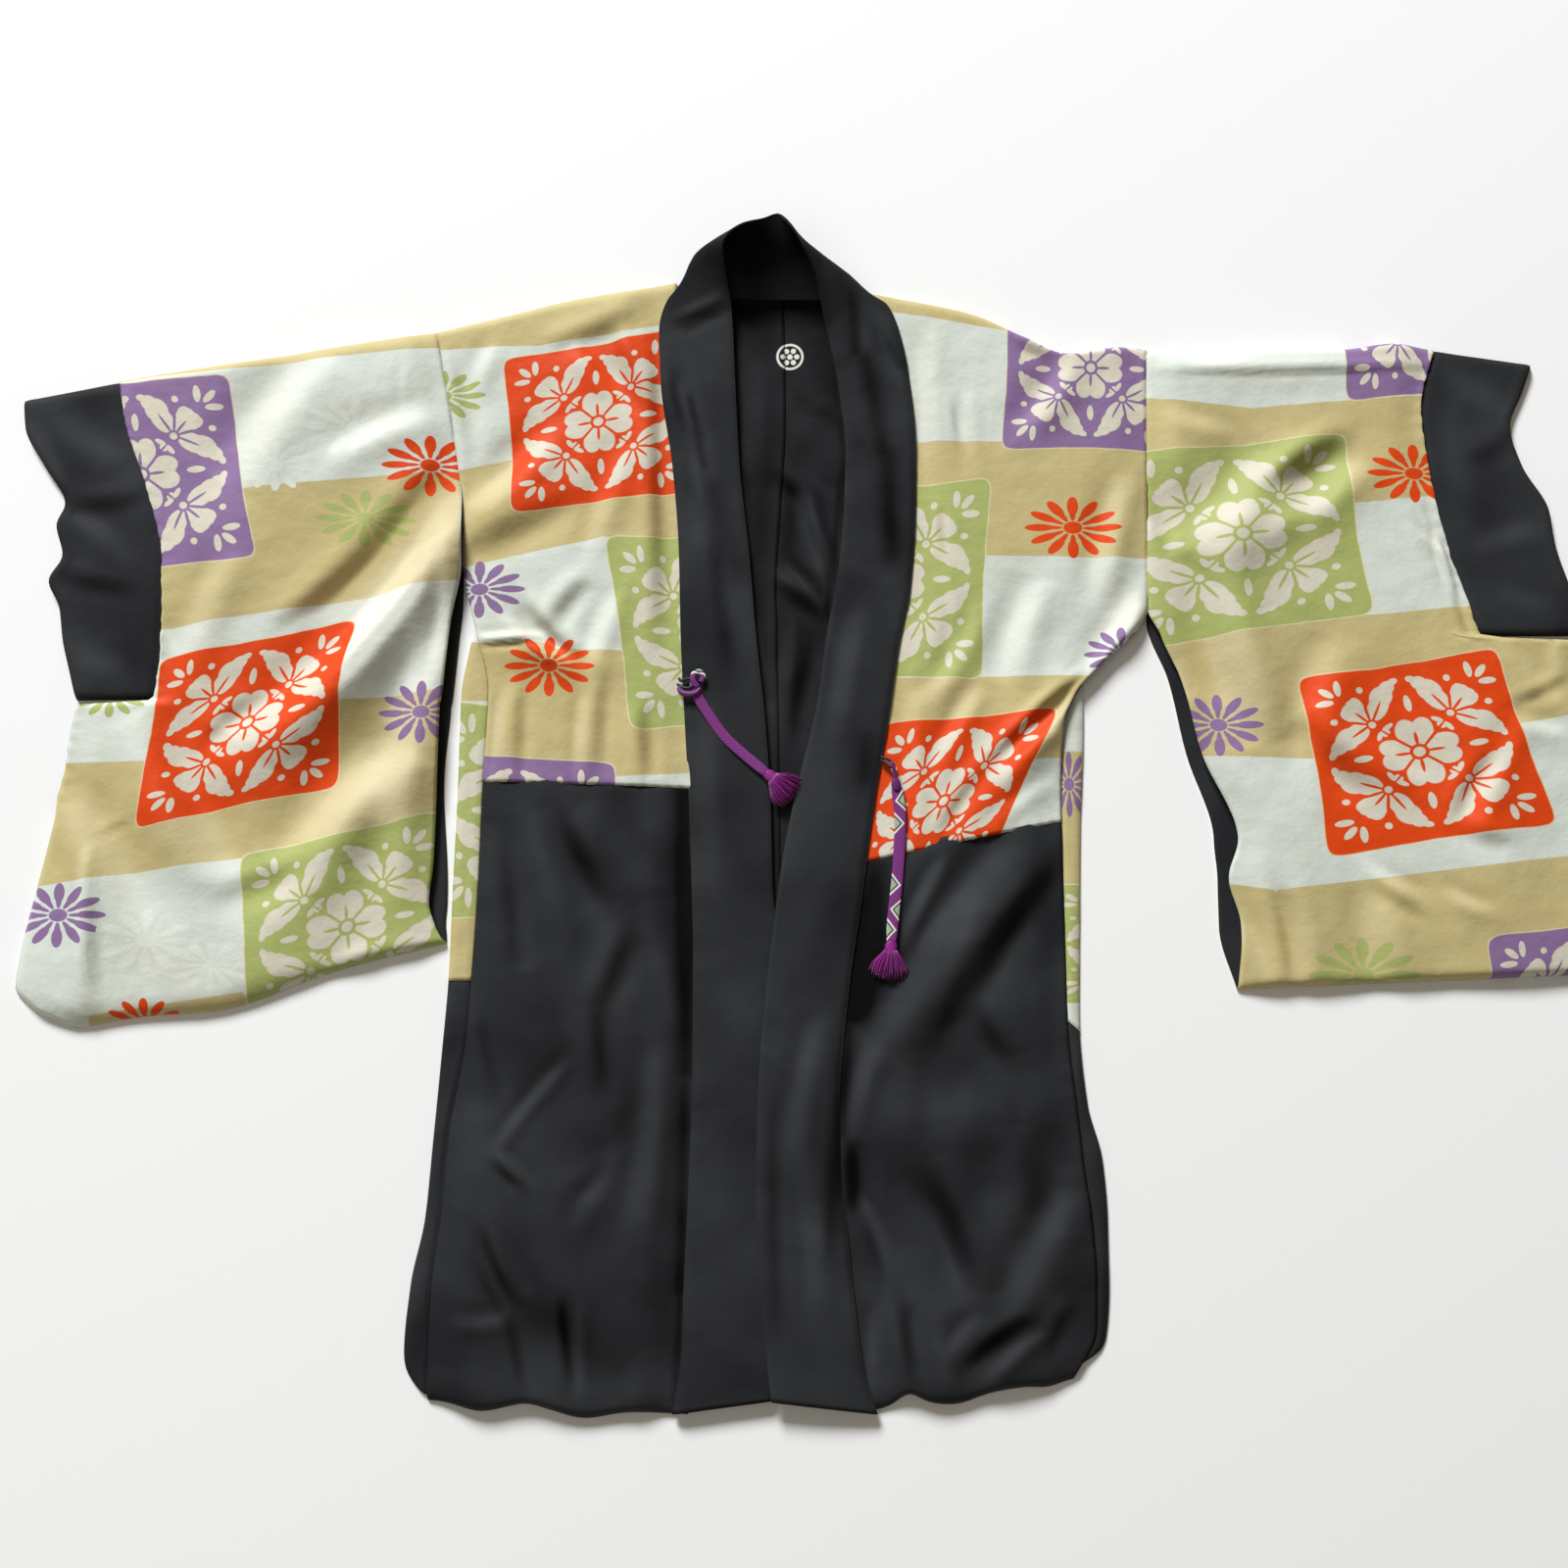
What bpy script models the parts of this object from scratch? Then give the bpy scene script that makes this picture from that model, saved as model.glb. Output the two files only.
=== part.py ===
# Haori jacket, turned lining side out and laid flat with its front up.
# Run with: blender --background --python part.py
#
# Tables give millimetres on the lying cloth: across is the distance to the right of the centre
# back, down is the distance below the neck point, height is above the surface it lies on.

from collections import namedtuple
from math import ceil, cos, exp, hypot, pi, sin, sqrt

import bmesh
import bpy
from mathutils import Vector

# ---------------------------------------------------------------- driving dimensions (mm)
MM = 0.001
MID_ACROSS = 19.0        # middle of the lying garment, measured from the centre back
MID_DOWN = 434.0         # middle of the lying garment, measured down from the neck point

WALL = 2.2               # silk, lining and turnings of a panel, pressed together
BAND_WALL = 3.2          # folded collar band
SEAM_GAP = 0.4           # air between two panels that are sewn to each other
LAYER_GAP = 0.5          # air between a panel and the one it lies on
ROLL = 7.0               # width over which a folded edge rounds down to the surface
FOOT = 0.4               # share of a folded edge's height that stands upright on the surface
TUCKED = 16.0            # part of a front that lies flat under the collar band
TUCK = 6.0               # how far the back stops short of the folded edge above it
SLEEVE_AIR = 2.6         # air between the two layers of a sleeve
FRONT_TOP = 2 * WALL + LAYER_GAP      # top face of a front where it lies flat on the back
SLEEVE_TOP = 2 * WALL + SLEEVE_AIR    # top face of a sleeve where it lies flat

BRAID_WIDTH = 9.0        # flat braid of the front ties
BRAID_THICK = 3.6
LOOP_THICK = 2.4         # small loops that the ties hang from

CLOTH_STEP = 36.0        # longest side of a cell of the cloth
BAND_STEP = 42.0
TIE_STEP = 12.0
LOOP_STEP = 3.0
RAISED_STEP = 14.0       # cells of the standing collar at the nape
RAISED_ABOVE = 15.0      # height of the free edge from which the collar counts as standing
BAND_CELLS = 5           # cells across the collar band
BACK_CELLS = 5           # cells across a half of the back
CUFF_CELLS = 4           # fewest cells across a cuff facing

# ---------------------------------------------------------------- tables of the cut and the lie
# A row is one line across a piece, from its inner end (toward the centre) to its outer end.
Row = namedtuple("Row", "in_across in_down out_across out_down")
# A row of a sleeve also says how far the back layer shows past the front layer.
SleeveRow = namedtuple("SleeveRow", "in_across in_down out_across out_down strip")
# A row of a strip sewn beside another piece: how far down that piece's outer edge it starts.
SideRow = namedtuple("SideRow", "seam_down out_across out_down")
# A row across the collar band: sewn edge and free edge with their heights, and how far its
# middle stands off the straight line between them.
BandRow = namedtuple("BandRow", "sewn_across sewn_down sewn_height free_across free_down "
                     "free_height bulge_across bulge_down")
# A wave of an edge: share of the way from the inner end, drop of the edge, half width (share).
Wave = namedtuple("Wave", "share drop spread")
# A fold: a soft ridge between two places, its half width and how far it rises.
Fold = namedtuple("Fold", "from_across from_down to_across to_down spread rise")

# Each front: the shoulder, the armhole, the side seam and the hem.
FRONT_LEFT = [
    Row(-91, -5, -292, 39),
    Row(-89, 93, -278, 113),
    Row(-80, 181, -267, 186),
    Row(-74, 261, -265, 240),
    Row(-71, 335, -252, 303),
    Row(-68, 375, -242, 347),
    Row(-65, 426, -245, 420),
    Row(-62, 520, -247, 500),
    Row(-60, 600, -251, 582),
    Row(-60, 665, -256, 640),
    Row(-63, 730, -266, 704),
    Row(-65, 795, -271, 769),
    Row(-67, 843, -277, 821),
    Row(-67, 880, -279, 872),
    Row(-75, 920, -278, 909),
]
FRONT_RIGHT = [
    Row(76, 5, 304, 54),
    Row(97, 93, 302, 131),
    Row(96, 177, 301, 202),
    Row(89, 261, 299, 278),
    Row(77, 335, 256, 329),
    Row(71, 365, 237, 350),
    Row(64, 402, 227, 379),
    Row(54, 488, 225, 453),
    Row(46, 556, 226, 530),
    Row(38, 620, 227, 614),
    Row(34, 690, 232, 677),
    Row(34, 745, 237, 729),
    Row(39, 790, 243, 767),
    Row(44, 843, 246, 813),
    Row(52, 887, 245, 854),
    Row(61, 918, 226, 893),
]
LINING_ROWS_LEFT = 6      # row of the front where its lining meets the black turn-up
LINING_ROWS_RIGHT = 7
# Each gusset: the place on the front's side seam, and the fold at its outer edge.
GUSSET_LEFT = [
    SideRow(303, -257, 301),
    SideRow(347, -265, 351),
    SideRow(420, -266, 424),
    SideRow(500, -268, 500),
    SideRow(582, -270, 582),
    SideRow(640, -274, 641),
    SideRow(704, -279, 708),
    SideRow(769, -284, 770),
    SideRow(821, -294, 821),
    SideRow(872, -298, 872),
    SideRow(907, -289, 911),
]
GUSSET_RIGHT = [
    SideRow(350, 246, 340),
    SideRow(379, 245, 384),
    SideRow(453, 241, 460),
    SideRow(530, 239, 530),
    SideRow(614, 237, 622),
    SideRow(677, 242, 680),
    SideRow(729, 253, 725),
    SideRow(767, 256, 770),
    SideRow(813, 256, 821),
    SideRow(854, 253, 860),
    SideRow(891, 235, 891),
]
GUSSET_LINING_ROWS = 4    # row of the gusset where its lining meets the black turn-up
SLEEVE_LEFT = [
    SleeveRow(-292, 39, -557, 82, 0),
    SleeveRow(-278, 113, -549, 122, 0),
    SleeveRow(-267, 186, -529, 177, 0),
    SleeveRow(-265, 240, -514, 237, 0),
    SleeveRow(-273, 291, -512, 300, 7),
    SleeveRow(-279, 355, -516, 354, 7),
    SleeveRow(-280, 360, -579, 359, 7),
    SleeveRow(-281, 416, -586, 415, 4),
    SleeveRow(-283, 488, -603, 500, 10),
    SleeveRow(-286, 520, -615, 560, 14),
    SleeveRow(-281, 538, -618, 588, 8),
    SleeveRow(-276, 548, -603, 606, 4),
    SleeveRow(-272, 553, -566, 621, 0),
]
SLEEVE_RIGHT = [
    SleeveRow(304, 54, 545, 57, 0),
    SleeveRow(302, 131, 532, 110, 0),
    SleeveRow(301, 202, 542, 194, 0),
    SleeveRow(299, 278, 565, 277, 0),
    SleeveRow(309, 300, 573, 301, 8),
    SleeveRow(311, 306, 661, 306, 8),
    SleeveRow(324, 335, 662, 335, 9),
    SleeveRow(340, 400, 666, 408, 11),
    SleeveRow(367, 469, 668, 472, 18),
    SleeveRow(359, 501, 671, 504, 8),
    SleeveRow(368, 539, 674, 535, 17),
    SleeveRow(364, 590, 668, 577, 0),
]
# Each cuff facing: the place on the sleeve's seam, and the folded edge at the hand.
CUFF_LEFT = [
    SideRow(83, -636, 99),
    SideRow(122, -633, 124),
    SideRow(159, -615, 157),
    SideRow(187, -597, 189),
    SideRow(207, -603, 207),
    SideRow(227, -597, 232),
    SideRow(252, -607, 254),
    SideRow(277, -597, 277),
    SideRow(302, -593, 303),
    SideRow(335, -586, 330),
    SideRow(353, -580, 354),
]
CUFF_RIGHT = [
    SideRow(57, 627, 68),
    SideRow(92, 617, 95),
    SideRow(123, 606, 123),
    SideRow(152, 614, 155),
    SideRow(194, 635, 195),
    SideRow(223, 638, 221),
    SideRow(252, 647, 254),
    SideRow(281, 654, 275),
    SideRow(300, 656, 300),
]
# The back halves, under everything else; only the part between the bands shows.
BACK_LEFT = [
    Row(-2, -12, -283, 48),
    Row(0, 110, -274, 115),
    Row(-4, 190, -264, 188),
    Row(-8, 260, -263, 240),
    Row(-7, 290, -257, 282),
    Row(-7, 310, -247, 303),
    Row(-6, 360, -254, 350),
    Row(-4, 560, -256, 560),
    Row(-4, 740, -268, 740),
    Row(-4, 860, -285, 860),
    Row(-4, 902, -272, 896),
]
BACK_RIGHT = [
    Row(-2, -12, 296, 88),
    Row(0, 110, 297, 135),
    Row(-4, 190, 298, 202),
    Row(-8, 260, 294, 280),
    Row(-7, 310, 256, 316),
    Row(-6, 360, 228, 356),
    Row(-4, 560, 228, 560),
    Row(-4, 740, 240, 740),
    Row(-4, 860, 242, 850),
    Row(-4, 902, 222, 880),
]
COLLAR = [
    BandRow(-87, 919, 9, -10, 909, 9, 0, 0),
    BandRow(-80, 872, 9, -8, 865, 9, 0, 0),
    BandRow(-79, 829, 9, -7, 820, 9, 0, 0),
    BandRow(-75, 730, 9, -3, 726, 9, 0, 0),
    BandRow(-73, 651, 9, -1, 651, 9, 0, 0),
    BandRow(-73, 570, 9, -2, 570, 9, 0, 0),
    BandRow(-75, 496, 9, -9, 508, 9, 0, 0),
    BandRow(-78, 426, 9, -11, 435, 9, 0, 0),
    BandRow(-81, 375, 9, -15, 375, 9, 0, 0),
    BandRow(-85, 300, 9, -23, 300, 9, 0, 0),
    BandRow(-87, 229, 9, -29, 229, 9, 0, 0),
    BandRow(-93, 156, 9, -37, 156, 9, 0, 0),
    BandRow(-103, 87, 9, -41, 80, 10, 0, 0),
    BandRow(-105, 39, 9.5, -44, 22, 16, 0, -2),
    BandRow(-94, 9, 11.5, -49, -4, 32, -3, -6),
    BandRow(-80, 5, 9, -51, -17, 46, -9, -13),
    BandRow(-62, 8, 6.5, -46, -27, 53, -8, -12),
    BandRow(-40, 10, 6, -34, -38, 48, -2, -6),
    BandRow(-14, 12, 6, -16, -46, 40, 0, 0),
    BandRow(6, 12, 6, -5, -50, 39, 0, 0),
    BandRow(22, 12, 6, 6, -38, 46, 3, -4),
    BandRow(42, 11, 6, 17, -14, 53, 6, -12),
    BandRow(64, 10, 7, 28, 8, 40, 6, -14),
    BandRow(84, 14, 9.5, 36, 43, 20, 4, -8),
    BandRow(104, 75, 9, 45, 87, 10, 0, 0),
    BandRow(110, 142, 9, 51, 142, 9, 0, 0),
    BandRow(109, 200, 9, 50, 186, 9, 0, 0),
    BandRow(105, 257, 9, 45, 243, 9, 0, 0),
    BandRow(94, 314, 9, 35, 300, 9, 0, 0),
    BandRow(85, 374, 9, 27, 357, 9, 0, 0),
    BandRow(73, 443, 9, 10, 429, 10, 0, 0),
    BandRow(67, 487, 9, -1, 484, 12.5, 0, 0),
    BandRow(62, 525, 9, -6, 520, 13.5, 0, 0),
    BandRow(53, 584, 9, -15, 597, 13.5, 0, 0),
    BandRow(44, 690, 9, -20, 659, 13.5, 0, 0),
    BandRow(47, 743, 9, -22, 730, 13.5, 0, 0),
    BandRow(57, 847, 9, -20, 808, 13.5, 0, 0),
    BandRow(63, 886, 9, -14, 872, 13.5, 0, 0),
    BandRow(73, 919, 9, -10, 909, 13.5, 0, 0),
]

SHOULDER_WAVES_LEFT = [Wave(0.45, -3, 0.25)]
HEM_WAVES_LEFT = [Wave(0.40, 7, 0.12), Wave(0.80, 6, 0.10), Wave(0.62, -2, 0.06)]
HEM_WAVES_RIGHT = [Wave(0.22, -8, 0.07), Wave(0.45, 5, 0.12), Wave(0.88, 3, 0.08)]
SHOULDER_WAVES_RIGHT = [Wave(0.69, 19, 0.16), Wave(0.50, 4, 0.10)]
SLEEVE_TOP_WAVES_RIGHT = [Wave(0.22, 10, 0.16), Wave(0.86, -7, 0.12)]
SLEEVE_HEM_WAVES_LEFT = [Wave(0.58, 12, 0.20)]
WAVE_REACH = 60.0        # how far into the piece an edge's wave is felt

FOLDS = [
    # left sleeve: drawn from the armhole toward the lower corner
    Fold(-262, 205, -480, 430, 30, 7),
    Fold(-270, 300, -420, 560, 26, 5),
    Fold(-552, 470, -566, 610, 16, 5),
    Fold(-330, 90, -520, 300, 34, 4),
    # left front
    Fold(-245, 305, -150, 330, 15, 5),
    Fold(-215, 440, -150, 600, 24, 4),
    Fold(-110, 470, -130, 700, 24, 4),
    Fold(-235, 700, -205, 900, 22, 5),
    # right front: drawn from the armpit
    Fold(290, 285, 150, 455, 26, 8),
    Fold(210, 470, 85, 640, 24, 6),
    Fold(235, 690, 120, 880, 28, 6),
    Fold(70, 800, 90, 900, 14, 5),
    # right sleeve
    Fold(320, 75, 520, 66, 14, 3),
    Fold(330, 320, 440, 560, 30, 6),
    Fold(560, 330, 590, 560, 36, 5),
    Fold(318, 120, 420, 260, 30, 4),
]
CROWN = 2.5              # soft rise of a panel away from its seams
CUFF_CROWN = 0.5         # the same rise of a cuff facing
FADE = 30.0              # distance from a seam over which a rise or a fold fades in

# Route of each tie on the cloth: across, down, height of the braid's middle.
TIE_LEFT = [(-75, 341, 12.2), (-70, 353, 11.6), (-61, 368, 11.4), (-48, 386, 11.4),
            (-32, 401, 11.8), (-14, 416, 12.6)]
TIE_RIGHT = [(89, 407, 10.4), (91, 424, 10.4), (94, 448, 10.8), (93, 480, 10.8),
             (91, 505, 10.6), (88, 530, 10.9), (86, 553, 11.8)]
LOOP_LEFT = [(-84, 340, 10.6), (-88.5, 344, 10.2), (-88, 350, 10.0), (-83, 351, 10.6)]
LOOP_RIGHT = [(78.5, 393, 10.8), (84, 390, 10.0), (88, 394, 9.6), (87, 400, 9.8)]

TASSEL_LENGTH = 24.0     # from the head's neck to the strand tips
TASSEL_SPREAD = 34.0     # width of the fan at the strand tips
TASSEL_HEAD = (8.4, 3.8, 7.0)     # width, thickness and length of the bound head
TASSEL_DROOP = 0.4       # how far the strand tips sink below the head's middle
TASSEL_ROWS = (7, 3)     # strands side by side, and strands deep

COLOURS = {
    "lining": (0.68, 0.62, 0.44, 1.0),
    "silk": (0.022, 0.025, 0.028, 1.0),
    "tie": (0.22, 0.02, 0.24, 1.0),
}
ROUGHNESS = {"lining": 0.5, "silk": 0.55, "tie": 0.6}


# ---------------------------------------------------------------- laying out
def place(across, down, height):
    """A point of the lying garment, in metres."""
    return Vector(((across - MID_ACROSS) * MM, (MID_DOWN - down) * MM, height * MM))


def slopes(stations, values):
    """Tangents for a curve through the values that never overshoots them."""
    runs = [b - a for a, b in zip(stations, stations[1:])]
    rates = [(b - a) / run for a, b, run in zip(values, values[1:], runs)]
    inner = []
    for before, after in zip(rates, rates[1:]):
        inner.append(2 * before * after / (before + after) if before * after > 0 else 0.0)
    return [rates[0]] + inner + [rates[-1]]


def along(stations, values, tangents, at):
    """Value of that curve at a station."""
    last = len(stations) - 2
    index = max([i for i in range(last + 1) if stations[i] <= at] or [0])
    run = stations[index + 1] - stations[index]
    t = min(max((at - stations[index]) / run, 0.0), 1.0)
    return ((2 * t**3 - 3 * t**2 + 1) * values[index] + (t**3 - 2 * t**2 + t) * run * tangents[index]
            + (3 * t**2 - 2 * t**3) * values[index + 1]
            + (t**3 - t**2) * run * tangents[index + 1])


class Course:
    """The rows of a table joined into smooth edges; a station is a distance along the piece."""

    def __init__(self, rows):
        self.kind = type(rows[0])
        self.stations = [0.0]
        for a, b in zip(rows, rows[1:]):
            inner = hypot(b[0] - a[0], b[1] - a[1])
            outer = hypot(b[2] - a[2], b[3] - a[3])
            step = inner if self.kind is BandRow else min(inner, outer)
            self.stations.append(self.stations[-1] + max(step, 3.0))
        self.columns = list(zip(*rows))
        self.tangents = [slopes(self.stations, column) for column in self.columns]
        self.length = self.stations[-1]

    def row(self, station):
        values = [along(self.stations, column, tangent, station)
                  for column, tangent in zip(self.columns, self.tangents)]
        return self.kind(*values)

    def cuts(self, step, start=0.0, end=None):
        """Stations of the grid lines: every row of the table and even steps between them."""
        end = self.length if end is None else end
        marks = [start] + [mark for mark in self.stations if start < mark < end] + [end]
        lines = []
        for a, b in zip(marks, marks[1:]):
            parts = max(1, ceil((b - a) / step - 0.25))
            lines += [a + (b - a) * i / parts for i in range(parts)]
        return lines + [end]

    def outer_place(self, down):
        """The place on the outer edge at a distance down."""
        low, high = 0.0, self.length
        for _ in range(40):
            middle = (low + high) / 2
            if self.row(middle).out_down < down:
                low = middle
            else:
                high = middle
        row = self.row(low)
        return row.out_across, row.out_down


def beside(neighbour, rows):
    """Rows of a strip whose inner edge is the outer edge of its neighbour."""
    return [Row(*neighbour.outer_place(row.seam_down), row.out_across, row.out_down) for row in rows]


def edge_drop(waves, share, from_edge):
    """How far an edge's waves move a point down, fading into the piece."""
    fade = max(0.0, 1.0 - from_edge / WAVE_REACH) ** 2
    return fade * sum(w.drop * exp(-((share - w.share) / w.spread) ** 2) for w in waves)


def fold_height(across, down):
    """Height of the folds at a place, over the flat cloth."""
    height = 0.0
    for fold in FOLDS:
        run_across = fold.to_across - fold.from_across
        run_down = fold.to_down - fold.from_down
        length = hypot(run_across, run_down)
        t = ((across - fold.from_across) * run_across + (down - fold.from_down) * run_down) / length**2
        inside = min(max(t, 0.0), 1.0)
        off = hypot(across - fold.from_across - inside * run_across,
                    down - fold.from_down - inside * run_down)
        height += fold.rise * exp(-(off / fold.spread) ** 2) * (0.35 + 0.65 * sin(pi * inside))
    return height


def near_edge(distance, reach):
    """0 on a seam, 1 once the distance from it passes the reach, smooth between."""
    t = min(max(distance / reach, 0.0), 1.0)
    return t * t * (3 - 2 * t)


def rounded(distance, reach=ROLL):
    """Share of the full height at a distance inside a folded edge, from its upright foot on."""
    t = min(max(distance / reach, 0.0), 1.0)
    return FOOT + (1 - FOOT) * sqrt(max(0.0, 1 - (1 - t) ** 2))


ROLL_CUTS = [ROLL * (1 - cos(pi / 2 * k / 3)) for k in range(4)]      # inside a folded edge


# ---------------------------------------------------------------- making solids
def material(name):
    made = bpy.data.materials.get(name) or bpy.data.materials.new(name)
    made.use_nodes = True
    shader = made.node_tree.nodes["Principled BSDF"]
    shader.inputs["Base Color"].default_value = COLOURS[name]
    shader.inputs["Roughness"].default_value = ROUGHNESS[name]
    shader.inputs["Metallic"].default_value = 0.0
    return made


def add_object(name, data, finish):
    made = bpy.data.objects.new(name, data)
    data.materials.append(material(finish))
    garment.objects.link(made)
    return made


def facing_up(bm):
    """Turns an open cloth so that the upper layer's face points up."""
    bm.normal_update()
    lift = sum(face.normal.z * face.calc_area() * face.calc_center_median().z for face in bm.faces)
    if lift < 0:
        bmesh.ops.reverse_faces(bm, faces=bm.faces[:])


def cloth_object(name, bm, finish, wall):
    """An open cloth, given its wall on the inner side."""
    mesh = bpy.data.meshes.new(name)
    bm.to_mesh(mesh)
    bm.free()
    mesh.shade_smooth()
    made = add_object(name, mesh, finish)
    thick = made.modifiers.new("wall", "SOLIDIFY")
    thick.thickness = wall * MM
    thick.offset = -1.0
    thick.use_even_offset = True
    return made


def grid_cloth(lines):
    """A grid moved onto rows of points: one list of points for each line of the grid."""
    bm = bmesh.new()
    count_a, count_b = len(lines), len(lines[0])
    made = bmesh.ops.create_grid(bm, x_segments=count_b - 1, y_segments=count_a - 1, size=1.0)
    for vert in made["verts"]:
        a = round((vert.co.y + 1) / 2 * (count_a - 1))
        b = round((vert.co.x + 1) / 2 * (count_b - 1))
        vert.co = lines[a][b]
    bm.normal_update()
    return bm


def row_width(row):
    return hypot(row.out_across - row.in_across, row.out_down - row.in_down)


def spot_on(row, distance, drop=0.0):
    """Across and down of the place that lies a distance inside a row's outer end."""
    share = 1 - distance / row_width(row)
    across = row.in_across + (row.out_across - row.in_across) * share
    return across, row.in_down + (row.out_down - row.in_down) * share + drop


def front_panel(name, course, start, end, finish, top_waves=(), hem_waves=()):
    """A panel of the upper layer, lying on the back and sewn on at both sides.

    With top waves it starts at the shoulder, where it is folded down to the surface."""
    shoulder = start == 0.0
    last = end if hem_waves else end - SEAM_GAP / 2
    cuts = course.cuts(CLOTH_STEP, start if shoulder else start + SEAM_GAP / 2, last)
    feet = []
    if shoulder:
        cuts = ROLL_CUTS + [cut for cut in cuts if cut > 2 * ROLL]
        feet = [0.0]
    mean_width = sum(row_width(course.row(cut)) for cut in cuts) / len(cuts)
    count = round(mean_width / CLOTH_STEP)
    lines = []
    for number, cut in enumerate(feet + cuts):
        row = course.row(cut)
        width = row_width(row)
        shown = width - SEAM_GAP - TUCKED
        distances = [width] + [SEAM_GAP + shown * (1 - i / count) for i in range(count + 1)]
        line = []
        for distance in distances:
            share = 1 - distance / width
            drop = edge_drop(top_waves, share, cut) + edge_drop(hem_waves, share, course.length - cut)
            across, down = spot_on(row, distance, drop)
            inside = width - distance - TUCKED
            puff = CROWN * near_edge(inside, FADE) * near_edge(distance, FADE)
            height = FRONT_TOP + puff + fold_height(across, down) * near_edge(inside, FADE)
            if shoulder:
                height *= rounded(cut)
            if number < len(feet):
                height = 0.0
            line.append(place(across, down, height))
        lines.append(line)
    bm = grid_cloth(lines)
    facing_up(bm)
    return cloth_object(name, bm, finish, WALL)


def gusset(name, course, start, end, finish):
    """A narrow strip at the side, sewn to the front and folded down to the surface outside."""
    lines = []
    for cut in course.cuts(CLOTH_STEP, start + SEAM_GAP / 2, end - SEAM_GAP / 2):
        row = course.row(cut)
        width = row_width(row)
        reach = min(ROLL, 0.8 * width)
        line = []
        for distance in [width - SEAM_GAP] + [bend * reach / ROLL for bend in ROLL_CUTS[::-1]]:
            across, down = spot_on(row, distance)
            line.append(place(across, down, FRONT_TOP * rounded(distance, reach)))
        line.append(place(row.out_across, row.out_down, 0.0))
        lines.append(line)
    bm = grid_cloth(lines)
    facing_up(bm)
    return cloth_object(name, bm, finish, WALL)


def back_panel(name, rows, side):
    """Half of the back, flat on the surface."""
    course = Course(rows)
    lines = []
    for cut in course.cuts(CLOTH_STEP * 2):
        row = course.row(cut)
        start = side * SEAM_GAP / 2
        line = []
        for i in range(BACK_CELLS + 1):
            share = i / BACK_CELLS
            across = row.in_across + start + (row.out_across - row.in_across - start) * share
            down = row.in_down + (row.out_down - row.in_down) * share
            line.append(place(across, down, WALL))
        lines.append(line)
    bm = grid_cloth(lines)
    facing_up(bm)
    return cloth_object(name, bm, "silk", WALL)


def wrapped_cloth(name, course, finish, closed, top_waves=(), hem_waves=()):
    """A cloth folded over at its top: the front layer, then the back layer on the surface.

    A closed one is sewn along the bottom as well, and is a flat tube."""
    middle = [cut for cut in course.cuts(CLOTH_STEP) if 2 * ROLL < cut]
    bottom = []
    if closed:
        middle = [cut for cut in middle if cut < course.length - 2 * ROLL]
        bottom = [course.length - cut for cut in ROLL_CUTS[::-1]]
    front = [("front", cut) for cut in ROLL_CUTS + middle + bottom]
    back = [("back", cut) for cut in [0.0, ROLL] + middle + bottom[:1] + bottom[3:]]
    inner_gap = SEAM_GAP if closed else 2 * SEAM_GAP
    mean_width = sum(row_width(course.row(cut)) for cut in middle) / len(middle)
    count = max(CUFF_CELLS, round(mean_width / CLOTH_STEP))
    lines = []
    for layer, cut in front[::-1] + back:
        row = course.row(cut)
        strip = row.strip if closed and layer == "back" else 0.0
        width = row_width(row)
        line = []
        for i in range(count + 1):
            share = i / count
            distance = SEAM_GAP + (width + strip - inner_gap - SEAM_GAP) * (1 - share)
            drop = edge_drop(top_waves, share, cut) + edge_drop(hem_waves, share, course.length - cut)
            across, down = spot_on(row, distance, drop)
            ends = near_edge(distance, FADE) * near_edge(width - distance, FADE)
            height = SLEEVE_TOP + (CROWN if closed else CUFF_CROWN) * ends + fold_height(across, down)
            height *= rounded(cut) * (rounded(course.length - cut) if closed else 1.0)
            line.append(place(across, down, height if layer == "front" else 0.0))
        lines.append(line)
    if closed:
        lines.append(lines[0])
    bm = grid_cloth(lines)
    bmesh.ops.remove_doubles(bm, verts=bm.verts[:], dist=0.00001)
    facing_up(bm)
    return cloth_object(name, bm, finish, WALL)


def band_point(row, share):
    """A point of the band's upper face, at a share of the way from the sewn to the free edge."""
    off = 4 * share * (1 - share)
    return place(
        row.sewn_across + (row.free_across - row.sewn_across) * share + row.bulge_across * off,
        row.sewn_down + (row.free_down - row.sewn_down) * share + row.bulge_down * off,
        row.sewn_height + (row.free_height - row.sewn_height) * share)


def collar_band():
    """The band: up one front, round the nape and down the other front."""
    course = Course(COLLAR)
    flat_cuts = course.cuts(BAND_STEP)
    cuts = []
    for a, b in zip(flat_cuts, flat_cuts[1:]):
        highest = max(course.row(a).free_height, course.row(b).free_height)
        parts = max(1, ceil((b - a) / RAISED_STEP)) if highest > RAISED_ABOVE else 1
        cuts += [a + (b - a) * i / parts for i in range(parts)]
    lines = []
    for cut in cuts + [flat_cuts[-1]]:
        row = course.row(cut)
        lines.append([band_point(row, i / BAND_CELLS) for i in range(BAND_CELLS + 1)])
    bm = grid_cloth(lines)
    facing_up(bm)
    return cloth_object("collar", bm, "silk", BAND_WALL)


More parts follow.
